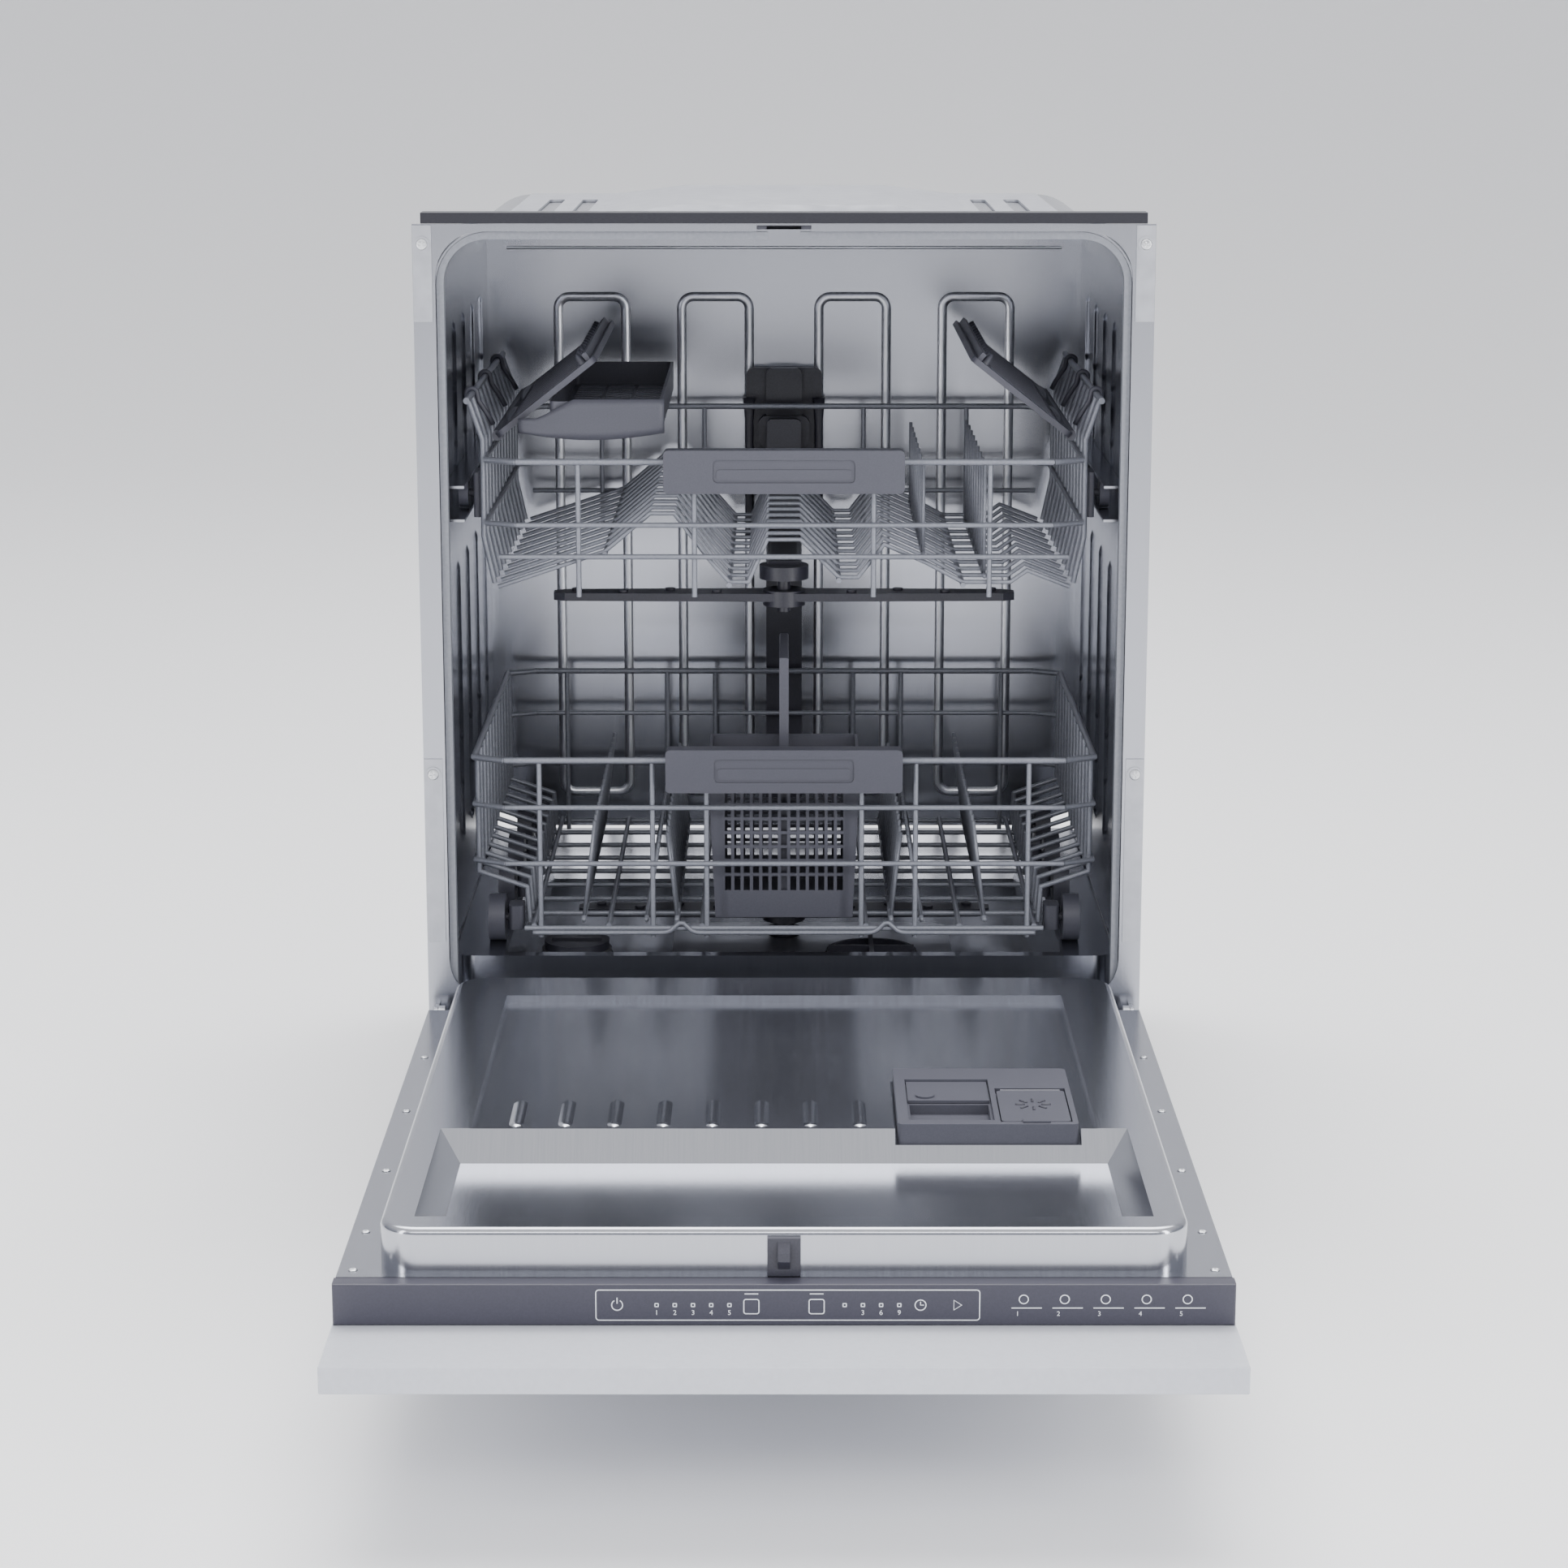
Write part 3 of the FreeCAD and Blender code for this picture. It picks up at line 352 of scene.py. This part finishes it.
# ---------------------------------------------------------------- runners and water parts
# Steel runners hang on the tub sides; riser, hub, lower arm, salt cap and filter are
# dark mouldings, and the filter plate is steel sheet with rows of fine round holes.
dress(steel, "guide_rails")
dress(dark, "feed_tube", "spray_hub", "lower_spray_arm", "salt_cap", "filter_cylinder")

mesh_steel, mesh_tree, mesh_shader = paint("filter_steel", (0.5, 0.5, 0.54), 0.35, 1.0)
pores = mesh_tree.nodes.new("ShaderNodeTexVoronoi")
pores.inputs["Scale"].default_value = 450.0
pores.inputs["Randomness"].default_value = 0.0
pore_place = mesh_tree.nodes.new("ShaderNodeTexCoord")
pore_ramp = mesh_tree.nodes.new("ShaderNodeValToRGB")
pore_ramp.color_ramp.elements[0].position = 0.28
pore_ramp.color_ramp.elements[1].position = 0.36
pore_ramp.color_ramp.elements[0].color = (0.03, 0.03, 0.04, 1.0)
pore_ramp.color_ramp.elements[1].color = (0.52, 0.53, 0.57, 1.0)
mesh_tree.links.new(pore_place.outputs["Object"], pores.inputs["Vector"])
mesh_tree.links.new(pores.outputs["Distance"], pore_ramp.inputs["Fac"])
mesh_tree.links.new(pore_ramp.outputs["Color"], mesh_shader.inputs["Base Color"])
dress(mesh_steel, "filter_plate")

# ---------------------------------------------------------------- docking guides
# Two moulded cheeks on the back wall guide the upper rack's nozzle into its mouth:
# each is a rounded bar with a flared top, clipped to the riser.
CHEEK_X, CHEEK_Y = 33.0 * MM, 0.4935
CHEEK_DEEP = 9.0 * MM
cheek_z = np.linspace(0.478, 0.612, 14)
cheek_half = 4.0 * MM + 2.0 * MM * np.clip((cheek_z - 0.59) / 0.02, 0, 1)
cheek_turn = np.linspace(0, 2 * math.pi, 20, endpoint=False)
squash_x = np.sign(np.cos(cheek_turn)) * np.abs(np.cos(cheek_turn)) ** 0.4
squash_y = np.sign(np.sin(cheek_turn)) * np.abs(np.sin(cheek_turn)) ** 0.4
cheeks = np.stack([np.stack([
    side * CHEEK_X + cheek_half[:, None] * squash_x[None],
    CHEEK_Y + CHEEK_DEEP * squash_y[None] + 0 * cheek_half[:, None],
    cheek_z[:, None] + 0 * squash_x[None]], -1) for side in (-1, 1)])
docking = grid_mesh("docking_guides", cheeks, dark, caps=True)
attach(docking, "cabinet")

# ---------------------------------------------------------------- lower rack
# Welded steel wire dipped in grey nylon, with rows of leaning tines for plates; its
# handle, wheels, wheel carriers and cutlery basket are grey mouldings.
coat, coat_tree, coat_shader = paint("nylon_coat", (0.23, 0.24, 0.28), 0.34, 0.3)
coat_noise = grain(coat_tree, coat_shader, (1.0, 1.0, 1.0), 500.0, 0.30, 0.42, 0.08, 0.0002)
tint(coat_tree, coat_shader, coat_noise, (0.21, 0.22, 0.255), (0.25, 0.26, 0.30))
dress(coat, "lower_rack_floor", "lower_rack_sides", "lower_rack_ends")
dress(grey, "lower_handle", "cutlery_basket", "wheel_brackets",
      *["wheel_pair_%d" % k for k in range(1, 5)])
WIRE = 2.0 * MM
ROUND = 10


def tube(paths, radius, normal, sides=ROUND):
    """Tubes along flat paths: each ring is radius * (cos * normal + sin * (tangent x normal))."""
    tangent = np.gradient(paths, axis=1)
    tangent /= np.linalg.norm(tangent, axis=-1, keepdims=True)
    across = np.cross(tangent, np.array(normal))
    across /= np.linalg.norm(across, axis=-1, keepdims=True)
    turn = np.linspace(0.0, 2 * math.pi, sides, endpoint=False)
    ring = (np.cos(turn)[:, None] * np.array(normal) + 0.0)[None, None]
    ring = ring + np.sin(turn)[None, None, :, None] * across[:, :, None, :]
    return paths[:, :, None, :] + radius * ring


def lines(starts, ends, steps=2):
    """Straight paths from each start to each end, as an array [path, step, xyz]."""
    t = np.linspace(0.0, 1.0, steps)[None, :, None]
    return np.array(starts)[:, None] * (1 - t) + np.array(ends)[:, None] * t


floor_low, floor_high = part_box("lower_rack_floor")
TINE_ROWS = ((-0.172, 0.085, 0.010), (-0.118, 0.060, 0.010), (-0.092, 0.075, -0.008),
             (0.092, 0.075, 0.008), (0.118, 0.060, -0.010), (0.172, 0.085, -0.010))
TINE_COUNT = 17


def tine_row(name, x, height, lean, floor_z, first, last, body, count=TINE_COUNT):
    """One row of slim tines, each a pin that leans a little, on one long foot wire."""
    y = np.linspace(first, last, count)
    foot = np.stack([np.full(count, x), y, np.full(count, floor_z)], -1)
    tip = foot + np.array([lean, 0.0, height])
    pins = grid_mesh(name, tube(lines(foot, tip), WIRE * 0.85, (0.0, 1.0, 0.0)), coat, caps=True)
    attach(pins, body)
    run = lines([(x, first - 0.01, floor_z)], [(x, last + 0.01, floor_z)])
    rail = grid_mesh(name + "_rail", tube(run, WIRE, (1.0, 0.0, 0.0)), coat, caps=True)
    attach(rail, body)


for number, (x, height, lean) in enumerate(TINE_ROWS, 1):
    tine_row("tine_row_%d" % number, x, height, lean, floor_high.z + 1 * MM,
             floor_low.y + 0.02, floor_high.y - 0.02, "lower_rack")

# ---------------------------------------------------------------- lower rack's front foot wire
# The frontmost foot wire runs the width of the rack, just below the floor wires, and
# rises in two small humps.
FOOT_HALF = 0.215
HUMP_X, HUMP_HALF, HUMP_RISE = 0.088, 0.007, 9 * MM
foot_x = np.linspace(-FOOT_HALF, FOOT_HALF, 121)
hump = np.exp(-(((np.abs(foot_x) - HUMP_X) / HUMP_HALF) ** 2))
foot_z = floor_low.z - 1 * MM + HUMP_RISE * hump
foot = np.stack([foot_x, np.full_like(foot_x, floor_low.y - 1 * MM), foot_z], -1)[None]
foot_wire = grid_mesh("front_foot_wire", tube(foot, WIRE, (0.0, -1.0, 0.0)), coat, caps=True)
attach(foot_wire, "lower_rack")

# ---------------------------------------------------------------- upper rack
# The same dipped wire, with two rows of upright tines on the right; handle, roller
# carriers and rollers are grey, and the water channel and spray arm are darker.
dress(coat, "upper_rack_floor", "upper_rack_sides", "upper_rack_ends")
dress(grey, "upper_handle", "roller_carriers", *["roller_pair_%d" % k for k in range(1, 3)])
dress(dark, "upper_conduit", "upper_spray_arm")
tine_row("cup_tines_right", 0.118, 0.075, 0.0, 0.522, 0.11, 0.42, "upper_rack", 9)
tine_row("cup_tines_far_right", 0.170, 0.095, 0.0, 0.504, 0.11, 0.42, "upper_rack", 9)

# ---------------------------------------------------------------- cup shelves, teeth and clips
# Each tilting shelf is moulded with a comb of rounded teeth along its free edge and
# two low ribs; three moulded clips a side snap its rod to the rack's outer rail.
dress(grey, "cup_shelf_left", "cup_shelf_right")
SHELF_TILT = math.radians(38.0)
shelf_rod = next(j["pos_m"] for j in frame["joints"] if j["name"] == "right_shelf_tilt")
SHELF_X, SHELF_Z = shelf_rod[0], shelf_rod[2]
TOOTH_COUNT = 15
SHELF_FACE = 0.0024
CLIP_YS = (0.125, 0.262, 0.398)
RAIL_X, RAIL_Z = 0.264, 0.656
CLIP_BEND, CLIP_WIRE = 4.6 * MM, 2.2 * MM


def on_shelf(u, n, side):
    """x and z of the rod plus u along the tilted shelf and n square to its face."""
    x = -SHELF_X + u * math.cos(SHELF_TILT) - n * math.sin(SHELF_TILT)
    z = SHELF_Z + u * math.sin(SHELF_TILT) + n * math.cos(SHELF_TILT)
    return (x if side < 0 else -x), z


def hump_row(name, body, side, us, ys, half_u, half_y, rise, base):
    """Rounded humps on a shelf: height is rise * sqrt(cos * cos) over a patch round each centre."""
    grid = np.linspace(-1.0, 1.0, 7)
    uu = np.array(us)[:, None, None] + half_u * grid[None, :, None] + np.zeros((1, 1, 7))
    yy = np.array(ys)[:, None, None] + half_y * grid[None, None, :] + np.zeros((1, 7, 1))
    fall = np.cos(grid * math.pi / 2)
    dome = np.sqrt(np.clip(fall[:, None] * fall[None, :], 0, 1))
    x, z = on_shelf(uu, base + rise * dome[None], side)
    points = np.stack([x, yy + 0 * x, z], -1)
    if side > 0:
        points = points[:, :, ::-1]
    piece = grid_mesh(name, points[:, :, ::-1], grey, closed=False)
    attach(piece, body)


for side, label in ((-1, "left"), (1, "right")):
    shelf_low, shelf_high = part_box("cup_shelf_" + label)
    rows = np.linspace(shelf_low.y + 0.018, shelf_high.y - 0.018, TOOTH_COUNT)
    hump_row("stem_teeth_" + label, "cup_shelf_" + label, side, np.full(TOOTH_COUNT, 0.0935), rows,
             0.0035, 0.006, 0.010, SHELF_FACE)
    hump_row("face_ribs_" + label, "cup_shelf_" + label, side, np.full(2, 0.011), (0.17, 0.34),
             0.003, 0.06, 0.004, SHELF_FACE)
    for number, y in enumerate(CLIP_YS, 1):
        bend = np.linspace(math.radians(150), math.radians(-60), 10)
        x = RAIL_X + CLIP_BEND * np.cos(bend)
        z = RAIL_Z + CLIP_BEND * np.sin(bend)
        x = np.concatenate([x[::-1], [0.2585, 0.2500, 0.2465]])
        z = np.concatenate([z[::-1], [0.6500, 0.6370, 0.6300]])
        path = np.stack([side * x, np.full_like(x, y), z], -1)[None]
        name = "shelf_clip_%s_%d" % (label, number)
        clip = grid_mesh(name, tube(path, CLIP_WIRE, (0.0, 1.0, 0.0), 8),
                         grey, caps=True)
        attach(clip, "upper_rack")

# ---------------------------------------------------------------- knife tray and its apron
# The tray is a grey moulding. A deeper apron closes its front: one thin curved wall that
# runs out to the rack's side on the left and narrows upwards there.
dress(grey, "knife_tray")
APRON_LEFT, APRON_STEPS = -0.222, 25
APRON_TOP, APRON_FOOT = 0.640, 0.628
tray_low, tray_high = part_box("knife_tray")
apron_x = np.linspace(APRON_LEFT, tray_high.x + 0.002, APRON_STEPS)
apron_lean = np.clip((apron_x + 0.206) / 0.03, 0.0, 1.0)
apron_top = APRON_TOP + 0.016 * apron_lean
apron_foot = APRON_FOOT - 0.006 * np.sin(np.linspace(0.0, math.pi, APRON_STEPS))
rows = np.linspace(0.0, 1.0, 6)[None, :]
face_z = apron_top[:, None] * (1 - rows) + apron_foot[:, None] * rows
face_x = np.broadcast_to(apron_x[:, None], face_z.shape)
front_y = tray_low.y - 0.003 - 0.0012 * np.sin(rows * math.pi) + 0 * face_z
back_y = 0 * face_z + tray_low.y
loop = [np.stack([face_x, front_y, face_z], -1), np.stack([face_x, back_y, face_z], -1)[:, ::-1]]
apron = grid_mesh("knife_tray_apron", np.concatenate(loop, axis=1)[None], grey, caps=True)
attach(apron, "upper_rack")

# ---------------------------------------------------------------- door shells and pressed ribs
# The inner shell is drawn stainless sheet with a row of plain ribs pressed up from its
# raised middle; the outer tray is coated sheet, the latch and lower seal are moulded.
door_steel, door_tree, door_shader = paint("door_steel", (0.44, 0.45, 0.49), 0.2, 1.0)
door_noise = grain(door_tree, door_shader, (60.0, 1.5, 1.5), 16.0, 0.17, 0.23, 0.004, 0.0001)
tint(door_tree, door_shader, door_noise, (0.43, 0.44, 0.48), (0.45, 0.46, 0.50))
dress(door_steel, "door_inner")
dress(zinc, "door_outer")
dress(dark, "door_latch")
dress(rubber, "door_bottom_seal")
RIB_Y, RIB_REACH = -0.385, 0.032
RIB_HALF, RIB_RISE = 5.5 * MM, 2.0 * MM
RIB_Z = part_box("door_inner")[1].z - 6 * MM
rib_x = np.linspace(-0.195, 0.055, 8)
along = np.linspace(-1.0, 1.0, 25)
across = np.linspace(-1.0, 1.0, 11)
crown = np.cos(across * math.pi / 2)
ends = np.sqrt(np.clip(1 - (np.abs(along) * 4 - 3).clip(0) ** 2, 0, 1))
ribs = np.stack(np.broadcast_arrays(
    rib_x[:, None, None] + RIB_HALF * across[None, None, :] * ends[None, :, None],
    RIB_Y + RIB_REACH * along[None, :, None],
    RIB_Z - SINK + RIB_RISE * crown[None, None, :] * ends[None, :, None]), -1)
door_ribs = grid_mesh("door_ribs", ribs, door_steel, closed=False)
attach(door_ribs, "door")

# ---------------------------------------------------------------- dispenser and rinse lid bars
# A grey moulded dispenser with a sliding detergent lid; the rinse-aid lid carries a
# ring of short raised bars round its middle.
dress(grey, "dispenser", "rinse_lid", "detergent_lid")
BAR_COUNT, BAR_NEAR, BAR_FAR, BAR_Z = 8, 0.006, 0.013, 0.1941
lid_low, lid_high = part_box("rinse_lid")
LID_X, LID_Y = (lid_low.x + lid_high.x) / 2, -0.398
bar_turn = np.linspace(0, 2 * math.pi, BAR_COUNT, endpoint=False)
starts, finishes = [np.stack([LID_X + reach * np.cos(bar_turn), LID_Y + reach * np.sin(bar_turn),
                              np.full(BAR_COUNT, BAR_Z)], -1) for reach in (BAR_NEAR, BAR_FAR)]
bars = grid_mesh("rinse_lid_bars", tube(lines(starts, finishes, 4), 0.9 * MM, (0.0, 0.0, 1.0), 8),
                 dark, caps=True)
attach(bars, "rinse_lid")

# ---------------------------------------------------------------- control fascia
# A moulded dark grey bar along the door's free edge. Its keys are touch fields under
# a printed frame line; every printed mark here is a plain generic sign.
fascia, fascia_tree, fascia_shader = paint("fascia_moulding", (0.085, 0.085, 0.12), 0.4)
fascia_noise = grain(fascia_tree, fascia_shader, (1.0, 1.0, 1.0), 800.0, 0.34, 0.46, 0.08, 0.0002)
tint(fascia_tree, fascia_shader, fascia_noise, (0.043, 0.042, 0.060), (0.049, 0.048, 0.068))
dress(fascia, "control_panel")
bar_low, bar_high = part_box("control_panel")
PRINT_Y = bar_low.y - 0.00015
PRINT_Z = (bar_low.z + bar_high.z) / 2
INK_HALF = 0.00035
PROGRAM_XS = (-0.084, -0.072, -0.060, -0.048, -0.036)
DELAY_XS = (0.040, 0.052, 0.064, 0.076)
LEGEND_XS = (0.154, 0.181, 0.208, 0.235, 0.262)
POWER_X, DELAY_X, START_X = -0.110, 0.090, 0.112
SIGN_R, LAMP_HALF = 0.0036, 0.0011
ink, ink_tree, ink_shader = paint("print_ink", (0.80, 0.82, 0.86), 0.6)
ink_noise = grain(ink_tree, ink_shader, (1.0, 1.0, 1.0), 900.0, 0.55, 0.65, 0.02, 0.0001)
tint(ink_tree, ink_shader, ink_noise, (0.76, 0.78, 0.82), (0.84, 0.86, 0.90))


def stroke(name, x, z, closed=False):
    """A flat printed line through x, z points on the fascia: a ribbon INK_HALF to each side."""
    path = np.stack([x, z], -1)
    if closed:
        path = np.concatenate([path, path[:1]])
    step = np.gradient(path, axis=0)
    if closed:
        step[0] = step[-1] = path[1] - path[-2]
    step /= np.linalg.norm(step, axis=-1, keepdims=True)
    across = np.stack([-step[:, 1], step[:, 0]], -1) * INK_HALF
    flat = np.stack([path + across, path - across], 1)
    points = np.stack([flat[..., 0], np.full(flat.shape[:2], PRINT_Y), flat[..., 1]], -1)
    piece = grid_mesh(name, points[None], ink, closed=False, smooth=False)
    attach(piece, "door")


def rounded_line(x0, z0, x1, z1, radius, steps=8):
    """Points round a rectangle with quarter-circle corners."""
    turn = np.linspace(0, math.pi / 2, steps)
    corners = ((x1 - radius, z1 - radius, 0), (x0 + radius, z1 - radius, 1),
               (x0 + radius, z0 + radius, 2), (x1 - radius, z0 + radius, 3))
    x = [cx + radius * np.cos(turn + k * math.pi / 2) for cx, cz, k in corners]
    z = [cz + radius * np.sin(turn + k * math.pi / 2) for cx, cz, k in corners]
    return np.concatenate(x), np.concatenate(z)


stroke("key_frame", *rounded_line(-0.124, PRINT_Z - 0.0105, 0.129, PRINT_Z + 0.0105, 0.002),
       closed=True)
ring = np.linspace(math.radians(120), math.radians(420), 24)
stroke("power_ring", POWER_X + SIGN_R * np.cos(ring), PRINT_Z + SIGN_R * np.sin(ring))
stroke("power_bar", np.array([POWER_X, POWER_X]), np.array([PRINT_Z + 0.001, PRINT_Z + 0.0052]))
stroke("start_mark", np.array([START_X, 0.1172, START_X]),
       np.array([PRINT_Z + 0.0034, PRINT_Z, PRINT_Z - 0.0034]), closed=True)
clock = np.linspace(0, 2 * math.pi, 25)[:-1]
for number, x in enumerate((-0.0215, 0.0215), 1):
    stroke("status_bar_%d" % number, np.array([x - 0.0045, x + 0.0045]),
           np.array([PRINT_Z + 0.0078] * 2))
    edge = rounded_line(x - 0.005, PRINT_Z - 0.006, x + 0.005, PRINT_Z + 0.004, 0.0015)
    stroke("touch_field_%d" % number, *edge, closed=True)
stroke("delay_mark", DELAY_X + SIGN_R * np.cos(clock), PRINT_Z + SIGN_R * np.sin(clock),
       closed=True)
stroke("delay_hand", np.array([DELAY_X, DELAY_X, 0.0922]),
       np.array([PRINT_Z + 0.0024, PRINT_Z, PRINT_Z]))
for number, x in enumerate(PROGRAM_XS + DELAY_XS, 1):
    edge = rounded_line(x - LAMP_HALF, PRINT_Z - LAMP_HALF,
                        x + LAMP_HALF, PRINT_Z + LAMP_HALF, 0.0003)
    stroke("lamp_%d" % number, *edge, closed=True)
for number, x in enumerate(LEGEND_XS, 1):
    stroke("legend_line_%d" % number, np.array([x - 0.004, x + 0.016]),
           np.array([PRINT_Z - 0.002] * 2))
    stroke("legend_sign_%d" % number,
           x + 0.004 + 0.003 * np.cos(clock), PRINT_Z + 0.004 + 0.003 * np.sin(clock), closed=True)


def numeral(name, text, x, z, height):
    """A plain printed numeral, made a mesh and stood on the fascia."""
    curve = bpy.data.curves.new(name, "FONT")
    curve.body = text
    curve.size = height
    curve.align_x = "CENTER"
    holder = bpy.data.objects.new(name + "_text", curve)
    bpy.context.scene.collection.objects.link(holder)
    bpy.context.view_layer.update()
    mesh = bpy.data.meshes.new_from_object(holder)
    bpy.data.objects.remove(holder)
    co = np.empty(len(mesh.vertices) * 3, np.float32)
    mesh.vertices.foreach_get("co", co)
    co = co.reshape(-1, 3)
    placed = np.stack([co[:, 0] + x, np.full(len(co), PRINT_Y), co[:, 1] + z], -1)
    mesh.vertices.foreach_set("co", placed.astype(np.float32).ravel())
    mesh.materials.clear()
    mesh.materials.append(ink)
    piece = bpy.data.objects.new(name, mesh)
    bpy.context.scene.collection.objects.link(piece)
    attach(piece, "door")


for number, x in enumerate(PROGRAM_XS, 1):
    numeral("program_%d" % number, str(number), x, PRINT_Z - 0.0068, 0.0048)
for hours, x in zip((3, 6, 9), DELAY_XS[1:]):
    numeral("delay_%d" % hours, str(hours), x, PRINT_Z - 0.0068, 0.0048)
for number, x in enumerate(LEGEND_XS, 1):
    numeral("legend_%d" % number, str(number), x, PRINT_Z - 0.0075, 0.0046)

# ---------------------------------------------------------------- furniture board
# The board on the door is lacquered fibreboard, smooth and light grey, with the
# slight ripple that sprayed lacquer has.
board, board_tree, board_shader = paint("lacquered_board", (0.70, 0.71, 0.76), 0.32)
board_noise = grain(board_tree, board_shader, (1.0, 1.0, 1.0), 220.0, 0.28, 0.36, 0.04, 0.0002)
tint(board_tree, board_shader, board_noise, (0.53, 0.545, 0.60), (0.555, 0.57, 0.625))
dress(board, "decor_panel")

# ---------------------------------------------------------------- screws
# Countersunk cross-head screws hold the brackets to the niche and the door's two
# shells together.
screw_steel, screw_tree, screw_shader = paint("screw_steel", (0.70, 0.71, 0.73), 0.3, 1.0)
screw_noise = grain(screw_tree, screw_shader, (1.0, 1.0, 1.0), 400.0, 0.24, 0.36, 0.05, 0.0001)
tint(screw_tree, screw_shader, screw_noise, (0.66, 0.67, 0.69), (0.74, 0.75, 0.77))
HEAD_RINGS = 7
HEAD_SIDES = 24
EDGE_X = 0.287
EDGE_YS = (-0.16, -0.30, -0.44, -0.57, -0.645)
FLANGE_Z = 0.1575


def screw_heads(name, centres, axis, radius, crown, body):
    """Domed heads: the height is crown times radius times an arc falling to the rim, less a
    half-deep cross near the middle; it stands out along the given axis."""
    ring = np.linspace(1.0, 0.04, HEAD_RINGS)[:, None]
    turn = np.linspace(0.0, 2 * math.pi, HEAD_SIDES, endpoint=False)[None, :]
    cross = np.exp(-((np.sin(2 * turn) / 0.35) ** 2)) * (ring < 0.65)
    rise = radius * crown * (np.sqrt(1 - (ring * 0.98) ** 2) - 0.5 * cross)
    u, v = ring * radius * np.cos(turn), ring * radius * np.sin(turn)
    local = {"y": np.stack([u, -rise, v], -1), "z": np.stack([u, v, rise], -1)}[axis]
    points = np.array(centres)[:, None, None, :] + local[None]
    piece = grid_mesh(name, points, screw_steel, caps=True)
    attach(piece, body)


patterns = [m for m in frame["record"]["mounts"] if m["kind"] == "bolt_pattern"]
bracket_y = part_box("fixing_brackets")[0].y
frame_centres = [(side * m["dims"]["spacing_x_mm"] / 2 * MM, bracket_y, m["pos_m"][2])
                 for side in (-1, 1) for m in patterns]
screw_heads("frame_screws", frame_centres, "y", 0.0046, 0.17, "cabinet")
screw_heads("door_edge_screws", [(side * EDGE_X, y, FLANGE_Z) for side in (-1, 1) for y in EDGE_YS],
            "z", 0.0032, 0.38, "door")
